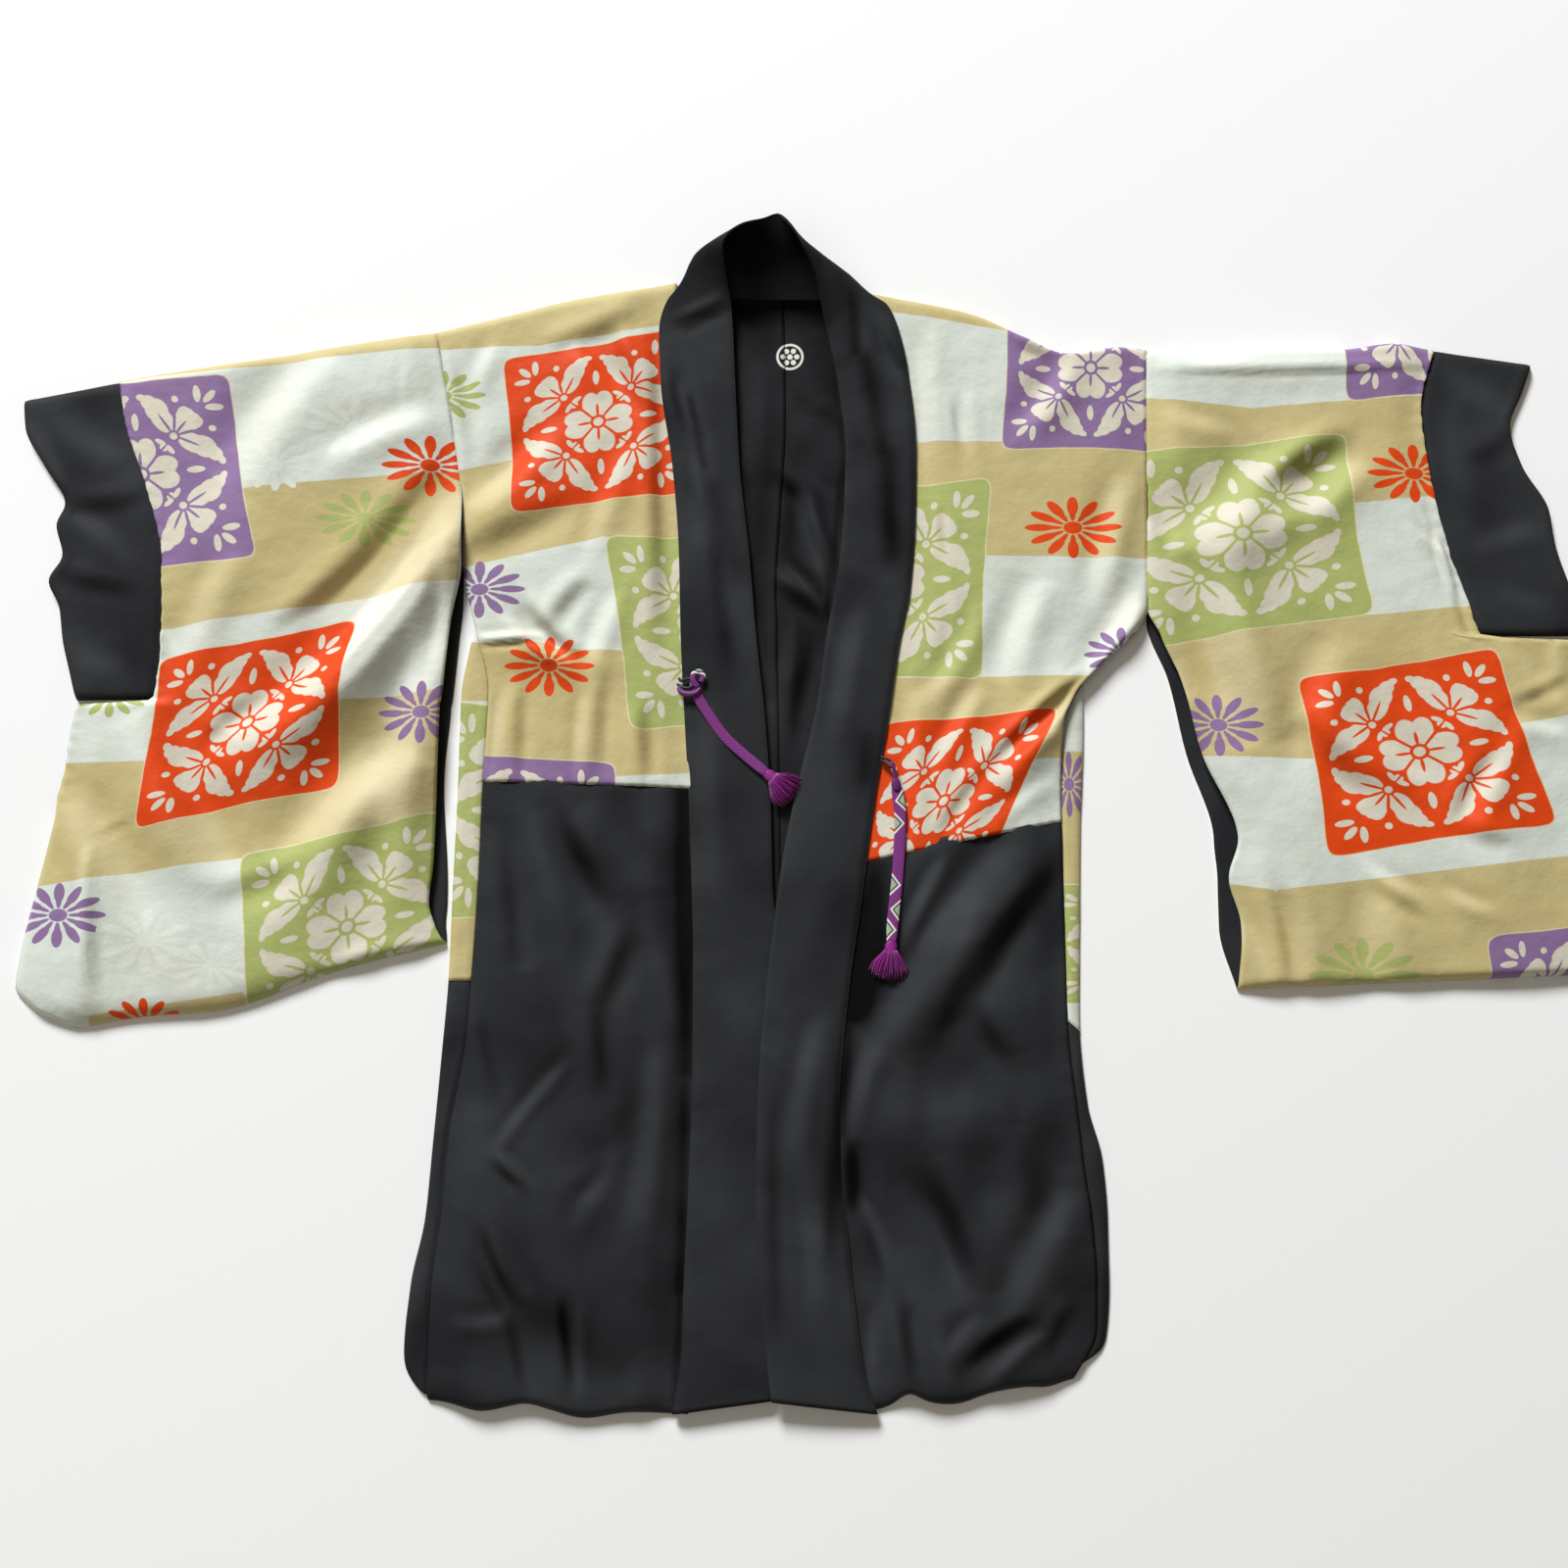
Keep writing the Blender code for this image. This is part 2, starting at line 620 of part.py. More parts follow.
def smooth_route(points, spacing):
    """Evenly spaced points of a smooth curve through a route's own points."""
    stations = [0.0]
    for a, b in zip(points, points[1:]):
        stations.append(stations[-1] + (Vector(b) - Vector(a)).length)
    columns = list(zip(*points))
    tangents = []
    for column in columns:
        rates = [(b - a) / (t - s) for a, b, s, t in zip(column, column[1:], stations, stations[1:])]
        inner = [(a + b) / 2 for a, b in zip(rates, rates[1:])]
        tangents.append([rates[0]] + inner + [rates[-1]])
    count = max(4, round(stations[-1] / spacing))
    route = []
    for i in range(count + 1):
        at = stations[-1] * i / count
        route.append([along(stations, c, t, at) for c, t in zip(columns, tangents)])
    return route


def round_tube(name, points, width, thick, spacing):
    """A tie or loop as a tube; a flat braid is the tube pressed to its thickness."""
    curve = bpy.data.curves.new(name, "CURVE")
    curve.dimensions = "3D"
    curve.bevel_depth = width / 2 * MM
    curve.bevel_resolution = 2
    curve.use_fill_caps = True
    spline = curve.splines.new("POLY")
    route = smooth_route(points, spacing)
    spline.points.add(len(route) - 1)
    press = thick / width
    for point, at in zip(spline.points, route):
        spot = place(*at)
        point.co = (spot.x, spot.y, spot.z / press, 1.0)
    made = add_object(name, curve, "tie")
    made.scale = (1.0, 1.0, press)
    return made


def tassel(name, route):
    """A bound head with a fan of strands, growing out of one end of the head."""
    wide, deep, long = TASSEL_HEAD
    across_count, deep_count = TASSEL_ROWS
    bm = bmesh.new()
    bmesh.ops.create_grid(bm, x_segments=across_count, y_segments=deep_count, size=0.5)
    for vert in bm.verts:
        vert.co = Vector((vert.co.x * wide * 1.15, vert.co.y * deep, 0.0))
    roots = bm.faces[:]
    rim = [edge for edge in bm.edges if edge.is_boundary]
    back = bmesh.ops.extrude_edge_only(bm, edges=rim)
    ring = [item for item in back["geom"] if isinstance(item, bmesh.types.BMVert)]
    for vert in ring:
        vert.co = Vector((vert.co.x * 0.55, vert.co.y * 0.8, -long))
    rim = [item for item in back["geom"] if isinstance(item, bmesh.types.BMEdge)]
    rim = [edge for edge in rim if edge.is_boundary]
    bmesh.ops.contextual_create(bm, geom=rim)
    bmesh.ops.inset_individual(bm, faces=roots, thickness=0.22)
    for face in roots:
        middle = face.calc_center_median()
        fan = middle.x / (wide * 1.15 / 2)
        layer = middle.y / (deep / 2)
        reach = TASSEL_LENGTH * (1.0 - 0.16 * fan * fan + 0.05 * sin(11 * fan + 5 * layer))
        current = face
        for step in (0.35, 0.7, 1.0):
            made = bmesh.ops.extrude_discrete_faces(bm, faces=[current])
            current = made["faces"][0]
            target = Vector((middle.x + fan * TASSEL_SPREAD * 0.4 * step ** 1.2,
                             middle.y * (1 + 0.25 * step) - TASSEL_DROOP * step * step,
                             reach * step))
            shift = target - current.calc_center_median()
            bmesh.ops.translate(bm, verts=current.verts[:], vec=shift)
    bmesh.ops.recalc_face_normals(bm, faces=bm.faces[:])
    before, neck = smooth_route(route, TIE_STEP)[-2:]
    heading = (place(*neck) - place(*before)).normalized()
    side = heading.cross(Vector((0, 0, 1))).normalized()
    up = side.cross(heading)
    start = place(*neck) + heading * (long + SEAM_GAP) * MM
    for vert in bm.verts:
        x, y, z = vert.co * MM
        vert.co = start + side * x + up * y + heading * z
    if bm.calc_volume(signed=True) < 0:
        bmesh.ops.reverse_faces(bm, faces=bm.faces[:])
    mesh = bpy.data.meshes.new(name)
    bm.to_mesh(mesh)
    bm.free()
    return add_object(name, mesh, "tie")


# ---------------------------------------------------------------- the garment
for old in list(bpy.data.objects):
    bpy.data.objects.remove(old)
garment = bpy.data.collections.new("haori_jacket")
bpy.context.scene.collection.children.link(garment)

back_panel("back_left", BACK_LEFT, -1)
back_panel("back_right", BACK_RIGHT, 1)
for side, front_rows, lining_rows, gusset_rows, shoulder_waves, hem_waves in (
        ("left", FRONT_LEFT, LINING_ROWS_LEFT, GUSSET_LEFT, SHOULDER_WAVES_LEFT,
         HEM_WAVES_LEFT),
        ("right", FRONT_RIGHT, LINING_ROWS_RIGHT, GUSSET_RIGHT, SHOULDER_WAVES_RIGHT,
         HEM_WAVES_RIGHT)):
    front = Course(front_rows)
    meeting = front.stations[lining_rows]
    front_panel("front_lining_" + side, front, 0.0, meeting, "lining", top_waves=shoulder_waves)
    front_panel("front_turn_up_" + side, front, meeting, front.length, "silk", hem_waves=hem_waves)
    strip = Course(beside(front, gusset_rows))
    meeting = strip.stations[GUSSET_LINING_ROWS]
    gusset("gusset_lining_" + side, strip, 0.0, meeting, "lining")
    gusset("gusset_turn_up_" + side, strip, meeting, strip.length, "silk")
for side, sleeve_rows, cuff_rows, top_waves, hem_waves in (
        ("left", SLEEVE_LEFT, CUFF_LEFT, (), SLEEVE_HEM_WAVES_LEFT),
        ("right", SLEEVE_RIGHT, CUFF_RIGHT, SLEEVE_TOP_WAVES_RIGHT, ())):
    sleeve = Course(sleeve_rows)
    cuff = Course(beside(sleeve, cuff_rows))
    wrapped_cloth("sleeve_" + side, sleeve, "lining", True, top_waves, hem_waves)
    wrapped_cloth("cuff_" + side, cuff, "silk", False)
collar_band()
for side, tie, loop in (("left", TIE_LEFT, LOOP_LEFT), ("right", TIE_RIGHT, LOOP_RIGHT)):
    round_tube("tie_" + side, tie, BRAID_WIDTH, BRAID_THICK, TIE_STEP)
    round_tube("loop_" + side, loop, LOOP_THICK, LOOP_THICK, LOOP_STEP)
    tassel("tassel_" + side, tie)
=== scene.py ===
from math import ceil, cos, pi, radians, sin

import bmesh
import bpy
import numpy as np
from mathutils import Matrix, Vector, noise


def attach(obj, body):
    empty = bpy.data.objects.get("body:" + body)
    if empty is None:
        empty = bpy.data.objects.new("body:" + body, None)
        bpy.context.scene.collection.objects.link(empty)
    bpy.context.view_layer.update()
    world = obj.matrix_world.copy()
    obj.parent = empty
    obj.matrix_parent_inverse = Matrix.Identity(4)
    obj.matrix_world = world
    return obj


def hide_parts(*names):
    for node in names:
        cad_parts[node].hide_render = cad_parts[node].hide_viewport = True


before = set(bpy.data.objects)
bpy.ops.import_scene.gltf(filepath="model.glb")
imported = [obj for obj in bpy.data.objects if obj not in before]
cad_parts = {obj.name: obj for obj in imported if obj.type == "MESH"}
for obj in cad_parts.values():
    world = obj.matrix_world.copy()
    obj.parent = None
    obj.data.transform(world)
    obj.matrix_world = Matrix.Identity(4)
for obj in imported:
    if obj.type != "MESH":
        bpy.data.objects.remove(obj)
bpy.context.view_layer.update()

# A silk haori, lining side out, laid flat with its front up. Lengths in the tables are
# millimetres on the lying cloth: across is right of the centre back, down is below the neck
# point, height is above the surface it lies on.
mm = 0.001
middle = {"across": 19.0, "down": 434.0}  # the garment's middle, where the frame's origin is


def place(across, down, height):
    return Vector(((across - middle["across"]) * mm, (middle["down"] - down) * mm, height * mm))


# camera
eye = {"across": 0.0, "down": 423.0, "distance": 1600.0, "tilt": 8.0, "lens": 45.0, "sensor": 36.0}
cameraData = bpy.data.cameras.new("viewCamera")
cameraData.lens = eye["lens"]
cameraData.sensor_width = eye["sensor"]
camera = bpy.data.objects.new("viewCamera", cameraData)
bpy.context.scene.collection.objects.link(camera)
lean = radians(eye["tilt"])
camera.location = place(eye["across"], eye["down"] + eye["distance"] * sin(lean),
                        eye["distance"] * cos(lean))
camera.rotation_euler = (lean, 0.0, 0.0)
bpy.context.scene.camera = camera
print("camera set")


# colours and nodes
def linear(hexColour, share=1.0):
    channels = [int(hexColour[i:i + 2], 16) / 255 for i in (1, 3, 5)]
    return tuple(share * (c / 12.92 if c <= 0.04045 else ((c + 0.055) / 1.055) ** 2.4)
                 for c in channels) + (1.0,)


def setInputs(tree, node, values):
    for key, value in values.items():
        if isinstance(value, bpy.types.NodeSocket):
            tree.links.new(value, node.inputs[key])
        else:
            node.inputs[key].default_value = value


def addNode(tree, kind, *values, output=None, **settings):
    # values fill the inputs that show in turn; settings are the node's own, or inputs by name
    made = tree.nodes.new("ShaderNode" + kind)
    named = {}
    for key, value in settings.items():
        if hasattr(made, key):
            setattr(made, key, value)
        else:
            named[key] = value
    shown = [index for index, socket in enumerate(made.inputs) if socket.enabled]
    setInputs(tree, made, {**dict(zip(shown, values)), **named})
    return made.outputs[output] if output else next(s for s in made.outputs if s.enabled)


def newMaterial(name):
    made = bpy.data.materials.new(name)
    made.use_nodes = True
    return made, made.node_tree, made.node_tree.nodes["Principled BSDF"]


def shape(tree, source, centre, radii, turn=0.0):
    # distance from the middle of an oval, 1 at its edge
    spot = addNode(tree, "Mapping", source, (*centre, 0.0), (0.0, 0.0, radians(turn)),
                   (*radii, 1.0), vector_type="TEXTURE")
    return addNode(tree, "VectorMath", spot, operation="LENGTH")


def joined(tree, sources, operation):
    found = sources[0]
    for source in sources[1:]:
        found = addNode(tree, "Math", found, source, operation=operation)
    return found


def filled(tree, shapes, limit, soft):
    # 1 within the limit of any of the shapes, with a soft edge
    nearest = joined(tree, shapes, "MINIMUM")
    return addNode(tree, "MapRange", nearest, limit + soft, limit - soft)


def washed(tree, ground, colour, source, span, most=1.0, blend="MIX"):
    # ground takes on the colour as source passes along the span
    share = addNode(tree, "MapRange", source, *span, 0.0, most)
    return addNode(tree, "Mix", share, ground, colour, data_type="RGBA", blend_type=blend)


def foldedTurns(tree, spot, count):
    # a round figure's wedges laid on one another, and the distance from its middle
    x, y = addNode(tree, "SeparateXYZ", spot).node.outputs[:2]
    angle = addNode(tree, "Math", y, x, operation="ARCTAN2")
    angle = addNode(tree, "Math", angle, pi / count, operation="PINGPONG")
    radius = addNode(tree, "VectorMath", spot, operation="LENGTH")
    turns = [addNode(tree, "Math", angle, operation=way) for way in ("COSINE", "SINE")]
    sides = [addNode(tree, "Math", radius, turn, operation="MULTIPLY") for turn in turns]
    return addNode(tree, "CombineXYZ", *sides), radius


def wovenBump(tree, cloth, look):
    # slubs of both thread directions over the soft crumples of worn cloth
    ways = [addNode(tree, "Mapping", cloth, Scale=(*scale, 1.0)) for scale in look["threads"]]
    slubs = [addNode(tree, "TexNoise", way, Scale=1.0, Detail=2.0) for way in ways]
    weave = addNode(tree, "Math", *slubs, operation="ADD")
    crumple = addNode(tree, "TexNoise", cloth, Scale=look["crumple"], Detail=4.0,
                      Roughness=look["crumpleRough"])
    soft = addNode(tree, "Bump", Height=crumple, Strength=look["crumpleDepth"], Distance=0.0022)
    return addNode(tree, "Bump", Height=weave, Normal=soft, Strength=0.2, Distance=0.00008)


# curves through the rows of a table
def slopes(stations, values, eased):
    rates = np.diff(values) / np.diff(stations)
    before, after = rates[:-1], rates[1:]
    inner = (before + after) / 2
    if eased:  # the curve never swings past a row
        same = before * after > 0
        inner = np.where(same, 2 * before * after / np.where(same, before + after, 1.0), 0.0)
    return np.concatenate([rates[:1], inner, rates[-1:]])


def curveAt(table, stations, at, eased=True):
    at = np.clip(np.asarray(at, dtype=float), stations[0], stations[-1])
    index = np.clip(np.searchsorted(stations, at, side="right") - 1, 0, len(stations) - 2)
    run = stations[index + 1] - stations[index]
    t = (at - stations[index]) / run
    found = []
    for column in table.T:
        tangent = slopes(stations, column, eased)
        found.append((2 * t**3 - 3 * t**2 + 1) * column[index]
                     + (t**3 - 2 * t**2 + t) * run * tangent[index]
                     + (3 * t**2 - 2 * t**3) * column[index + 1]
                     + (t**3 - t**2) * run * tangent[index + 1])
    return np.array(found).T


def stationsOf(rows, leastStep=3.0):
    # mm along a panel's rows; the collar's are measured on its sewn edge
    table = np.array(rows, dtype=float)
    steps = np.hypot(*np.diff(table[:, 0:2], axis=0).T)
    if table.shape[1] < 8:
        steps = np.minimum(steps, np.hypot(*np.diff(table[:, 2:4], axis=0).T))
    return np.concatenate([[0.0], np.cumsum(np.maximum(steps, leastStep))])


def rowsAt(rows, at):
    return curveAt(np.array(rows, dtype=float), stationsOf(rows), at)


def beside(rows, sideRows):
    # rows of a panel sewn on at the outer edge of another
    dense = rowsAt(rows, np.linspace(0.0, stationsOf(rows)[-1], 3000))
    return [(float(np.interp(down, dense[:, 3], dense[:, 2])), down, outAcross, outDown)
            for down, outAcross, outDown in sideRows]


def smoothRoute(points, spacing):
    table = np.array(points, dtype=float)
    steps = np.linalg.norm(np.diff(table, axis=0), axis=1)
    stations = np.concatenate([[0.0], np.cumsum(steps)])
    count = max(4, round(stations[-1] / spacing))
    route = curveAt(table, stations, np.linspace(0.0, stations[-1], count + 1), eased=False)
    return [place(*spot) for spot in route]


# making meshes
def finishObject(name, mesh, nodes, materials):
    made = bpy.data.objects.new(name, mesh)
    for material in materials:
        mesh.materials.append(material)
    mesh.shade_smooth()
    bpy.context.scene.collection.objects.link(made)
    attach(made, "root")
    if nodes:
        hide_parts(*nodes)
    return made


def gridMesh(points, onCloth, closed=False, capped=False):
    # both are lines by columns: points in metres, and their places on the flat cloth in mm
    countA, countB = points.shape[:2]
    bm = bmesh.new()
    made = bmesh.ops.create_grid(bm, x_segments=countB - 1, y_segments=countA - 1, size=1.0)
    layer = bm.loops.layers.uv.new("cloth")
    cells = {}
    for vert in made["verts"]:
        cell = (round((vert.co.y + 1) / 2 * (countA - 1)),
                round((vert.co.x + 1) / 2 * (countB - 1)))
        cells[vert.index] = cell
        vert.co = points[cell]
    for face in bm.faces:
        for loop in face.loops:
            loop[layer].uv = onCloth[cells[loop.vert.index]]
    if closed:
        bmesh.ops.remove_doubles(bm, verts=bm.verts[:], dist=0.000001)
    if capped:
        rims = [edge for edge in bm.edges if edge.is_boundary]
        bmesh.ops.holes_fill(bm, edges=rims, sides=0)
        bmesh.ops.recalc_face_normals(bm, faces=bm.faces[:])
    return bm


def meshFrom(bm, name):
    mesh = bpy.data.meshes.new(name)
    bm.to_mesh(mesh)
    bm.free()
    return mesh


def sweep(route, width, thick, sides=12, taper=None, power=0.75, aside=0.0):
    # a tube of oval section along a route in metres; taper gives the share of its width along
    # it, and a power under 1 squares the section
    lines, along = [], []
    last = len(route) - 1
    travelled = 0.0
    for i, spot in enumerate(route):
        heading = (route[min(i + 1, last)] - route[max(i - 1, 0)]).normalized()
        side = heading.cross(Vector((0, 0, 1)))
        side = side.normalized() if side.length > 0.05 else Vector((1, 0, 0))
        up = side.cross(heading)
        share = taper(i / last) if taper else 1.0
        travelled += (spot - route[max(i - 1, 0)]).length
        ring = []
        for k in range(sides + 1):
            angle = 2 * pi * k / sides
            x = abs(cos(angle)) ** power * (1 if cos(angle) > 0 else -1)
            y = abs(sin(angle)) ** power * (1 if sin(angle) > 0 else -1)
            ring.append(spot + side * x * width / 2 * share
                        + up * y * thick / 2 * min(1.0, share * 1.3))
            along.append((travelled / mm, x * width / 2 / mm + aside))
        lines.append(ring)
    onCloth = np.array(along).reshape(last + 1, sides + 1, 2)
    return gridMesh(np.array(lines), onCloth, closed=True, capped=True)


# braid, tassel and loop materials
def threadMaterial(name, colour, roughness, sheen, strand):
    # twisted filament silk: its colour streaked at random along each strand, from three tenths of
    # it to full, as painted highlight and painted shade between the strands
    made, tree, shader = newMaterial(name)
    cloth = addNode(tree, "UVMap", uv_map="cloth")
    drawn = addNode(tree, "Mapping", cloth, Scale=(0.05, 1.0, 1.0))
    wave = addNode(tree, "TexNoise", drawn, Scale=strand, Detail=2.0)
    setInputs(tree, shader, {
        "Base Color": washed(tree, linear(colour, 0.3), linear(colour), wave, (0.3, 0.7)),
        "Roughness": roughness, "Sheen Weight": sheen, "Sheen Roughness": 0.4,
        "Normal": addNode(tree, "Bump", Height=wave, Strength=0.4, Distance=0.0003)})
    return made


braidLook = {
    "ground": "#7f1d82", "shade": "#5a1260", "white": "#e4e2dd", "fill": "#a3b09f",
    "line": "#16131a", "roughness": 0.55, "sheen": 0.1, "sheenRough": 0.35,
    "plait": 1.7, "slant": 1.1, "plaitDepth": 0.5,  # mm between its diagonal threads, their slope
    # chevrons: mm along the braid and the way each points, then their size in mm
    "chevrons": ((31.5, -1), (50.0, 1), (100.0, 1), (120.0, -1), (136.5, 1)),
    "knotChevrons": ((17.0, -1),), "reach": 3.4, "slope": 1.15, "edge": 2.3, "liner": 4.0,
}


def braidMaterial(name, chevrons):
    # flat kumihimo braid of degummed silk: fine diagonal plait, soft lustre
    made, tree, shader = newMaterial(name)
    look = braidLook
    cloth = addNode(tree, "UVMap", uv_map="cloth")
    along, across = addNode(tree, "SeparateXYZ", cloth).node.outputs[:2]
    waves, wedges = [], []
    for way in (look["slant"], -look["slant"]):
        slant = addNode(tree, "Math", across, way, along, operation="MULTIPLY_ADD")
        turn = addNode(tree, "Math", slant, 2 * pi / look["plait"], operation="MULTIPLY")
        waves.append(addNode(tree, "Math", turn, operation="SINE"))
    plait = joined(tree, waves, "MAXIMUM")
    colour = washed(tree, linear(look["shade"]), linear(look["ground"]), plait, (-0.8, 0.9))
    for centre, way in chevrons:
        gap = addNode(tree, "Math", along, centre, operation="SUBTRACT")
        far = addNode(tree, "Math", gap, operation="ABSOLUTE")
        rise = addNode(tree, "Math", across, look["slope"] * way, look["slope"] * look["reach"],
                       operation="MULTIPLY_ADD")
        wedges.append(addNode(tree, "Math", rise, far, operation="SUBTRACT"))
    if wedges:
        wedge = joined(tree, wedges, "MAXIMUM")
        for key, limit in (("white", 0.0), ("line", look["edge"]), ("fill", look["liner"])):
            colour = washed(tree, colour, linear(look[key]), wedge, (limit - 0.15, limit + 0.15))
    setInputs(tree, shader, {
        "Base Color": colour, "Roughness": look["roughness"], "Sheen Weight": look["sheen"],
        "Sheen Roughness": look["sheenRough"],
        "Normal": addNode(tree, "Bump", Height=plait, Strength=look["plaitDepth"],
                          Distance=0.00025)})
    return made


plainBraid = braidMaterial("silkBraidReverse", ())
figuredBraid = braidMaterial("silkBraidChevron", braidLook["chevrons"])
knotBraid = braidMaterial("silkBraidKnot", braidLook["knotChevrons"])
tasselSilk = threadMaterial("looseSilkFilament", "#a3259b", roughness=0.42, sheen=0.15, strand=0.9)
bindingSilk = threadMaterial("boundSilkThread", "#74157a", roughness=0.5, sheen=0.15, strand=1.2)
darkCord = threadMaterial("blackSilkCord", "#17161b", roughness=0.6, sheen=0.1, strand=1.2)

# ties: routes give across, down, height of the braid's middle
ties = {
    "left": {
        "route": [(-75, 341, 12.2), (-70, 353, 11.6), (-61, 368, 11.4), (-48, 386, 11.4),
                  (-32, 401, 11.8), (-14, 416, 12.6)],
        "width": 8.6, "thick": 2.2, "length": 0.0976, "material": plainBraid,
        "neck": 0.62, "neckEnd": 0.0, "widens": 9.0},
    "right": {
        "route": [(89, 407, 10.4), (91, 424, 10.4), (94, 448, 10.8), (93, 480, 10.8),
                  (91, 505, 10.6), (88, 530, 10.9), (86, 553, 11.8)],
        "width": 9.6, "thick": 2.2, "length": 0.1466, "material": figuredBraid,
        "neck": 0.26, "neckEnd": 0.08, "widens": 13.0},
}
tassels = {"strands": 130, "length": 25.0, "spread": 12.0, "lift": 2.6, "headWidth": 9.4,
           "headDepth": 4.2, "headLength": 6.4, "headSteps": 15, "strandWidth": 0.95, "sides": 3,
           "joints": 7, "droop": 6.5, "turn": 2.39996}  # turn spreads the strands evenly


def headSwell(t):
    # the bound head swells in the middle and is ribbed by its thread wraps
    return 0.62 + 0.42 * sin(pi * min(1.0, t * 0.8 + 0.1)) + 0.05 * cos(t * 40)


def tasselPiece(side, route):
    look = tassels
    heading = (route[-1] - route[-3]).normalized()
    sideWay = heading.cross(Vector((0, 0, 1))).normalized()
    upWay = sideWay.cross(heading)
    headRoute = [route[-1] + heading * (look["headLength"] * mm
                                        * (i / (look["headSteps"] - 1) * 1.25 - 0.12))
                 for i in range(look["headSteps"])]
    pieces = [sweep(headRoute, look["headWidth"] * mm, look["headDepth"] * mm, 14, headSwell, 1.0)]
    start = route[-1] + heading * look["headLength"] * mm
    for k in range(look["strands"]):
        radius = ((k + 0.5) / look["strands"]) ** 0.5
        x, y = radius * cos(look["turn"] * k), radius * sin(look["turn"] * k)
        reach = look["length"] * (0.92 + 0.08 * sin(7.3 * k) - 0.16 * x * x) * mm
        points = []
        for j in range(look["joints"]):
            t = j / (look["joints"] - 1)
            fan = sin(pi / 2 * t) ** 1.15
            wobble = 0.5 * sin(3.1 * k + 4.0 * t) * t
            wide = (x * (look["headWidth"] * 0.42 + look["spread"] * fan) + wobble) * mm
            tall = y * (look["headDepth"] * 0.42 + look["lift"] * fan * (1 - 0.35 * t)) * mm
            spot = start + heading * (reach * t - 1.5 * mm) + sideWay * wide + upWay * tall
            spot.z -= look["droop"] * mm * t * t * (0.55 + 0.15 * x * x)
            points.append(spot)
        pieces.append(sweep(points, look["strandWidth"] * mm, look["strandWidth"] * 0.8 * mm,
                            look["sides"], lambda t: 1.0 - 0.25 * t, 1.0, 7.3 * k))
    whole = bmesh.new()
    for piece in pieces:
        part = meshFrom(piece, "part")
        whole.from_mesh(part)
        bpy.data.meshes.remove(part)
    return finishObject("tassel" + side.title(), meshFrom(whole, "tassel"), ["tassel_" + side],
                        [tasselSilk])


for side, tie in ties.items():
    points = smoothRoute(tie["route"], 2.0)

    def braidWidth(t):
        opened = min(1.0, max(0.0, t - tie["neckEnd"]) * tie["widens"])
        return (tie["neck"] + (1 - tie["neck"]) * opened) * (1.0 - 0.22 * max(0.0, t * 14 - 13))

    bm = sweep(points, tie["width"] * mm, tie["thick"] * mm, 14, braidWidth, 0.6)
    braid = finishObject("tie" + side.title(), meshFrom(bm, "tie"), ["tie_" + side],
                         [tie["material"]])
    tassel = tasselPiece(side, points)
    path = [list(p) for p in points]
    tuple(path[0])
print("ties made")

# loops of the collar seam, and how each tie is looped on: width, material, route
loops = {
    "left": {
        "loop": (2.5, darkCord, [
            (-86, 337, 8.6), (-84, 339.5, 10.6), (-79, 338, 12.4), (-74.5, 339, 13.4),
            (-73, 342.5, 13.6), (-77, 345.5, 13.2), (-83, 345, 11.4), (-87, 342, 9.2)]),
        "hitch": (4.4, knotBraid, [
            (-70, 345, 13.4), (-74, 340, 14.4), (-73.5, 334.5, 14.6), (-69, 332.5, 14.4),
            (-66, 336, 14.2), (-68, 341, 13.6)]),
        "knot": (4.2, bindingSilk, [
            (-86, 345, 11.8), (-84, 349, 12.8), (-78, 351, 13.6), (-72, 350, 13.8),
            (-68, 346, 13.4)])},
    "right": {
        "loop": (2.5, darkCord, [
            (78.5, 402, 9.0), (82.5, 403.5, 11.0), (86.5, 406, 12.0), (88.5, 409.5, 12.0),
            (86.5, 410.5, 11.4), (83, 407.5, 10.4), (79, 404.5, 9.2)]),
        "hitch": (2.9, bindingSilk, [
            (87, 406.5, 12.6), (88.5, 410, 12.8), (89.4, 415, 12.4), (90.2, 422, 12.2)]),
        "knot": (6.4, bindingSilk, [(90.2, 420, 11.6), (90.8, 424.5, 11.8), (91.6, 430, 11.6)])},
}
sections = {  # thickness, sides, taper, power
    "loop": (2.3, 10, None, 1.0), "hitch": (1.8, 12, None, 0.8),
    "knot": (3.0, 12, lambda t: 0.75 + 0.5 * sin(pi * t), 0.9)}
for side, parts in loops.items():
    for part, (width, material, route) in parts.items():
        thick, *section = sections[part]
        bm = sweep(smoothRoute(route, 1.0), width * mm, thick * mm, *section)
        finishObject(part + side.title(), meshFrom(bm, part),
                     ["loop_" + side] if part == "loop" else [], [material])
print("loops made")

# the printed lining
# pale and brown are not print: they are the painted highlight and the painted shade laid along the
# folds
printColours = {
    "purple": "#886c99", "orange": "#dc4404", "green": "#a7b16b", "ghost": "#dadfd8",
    "white": "#d2d9d2", "yellow": "#c2b481", "rim": "#dcd4ae", "motif": "#d3cebf",
    "stain": "#cdb98e", "brown": "#a98f68", "pale": "#f2ecdb"}
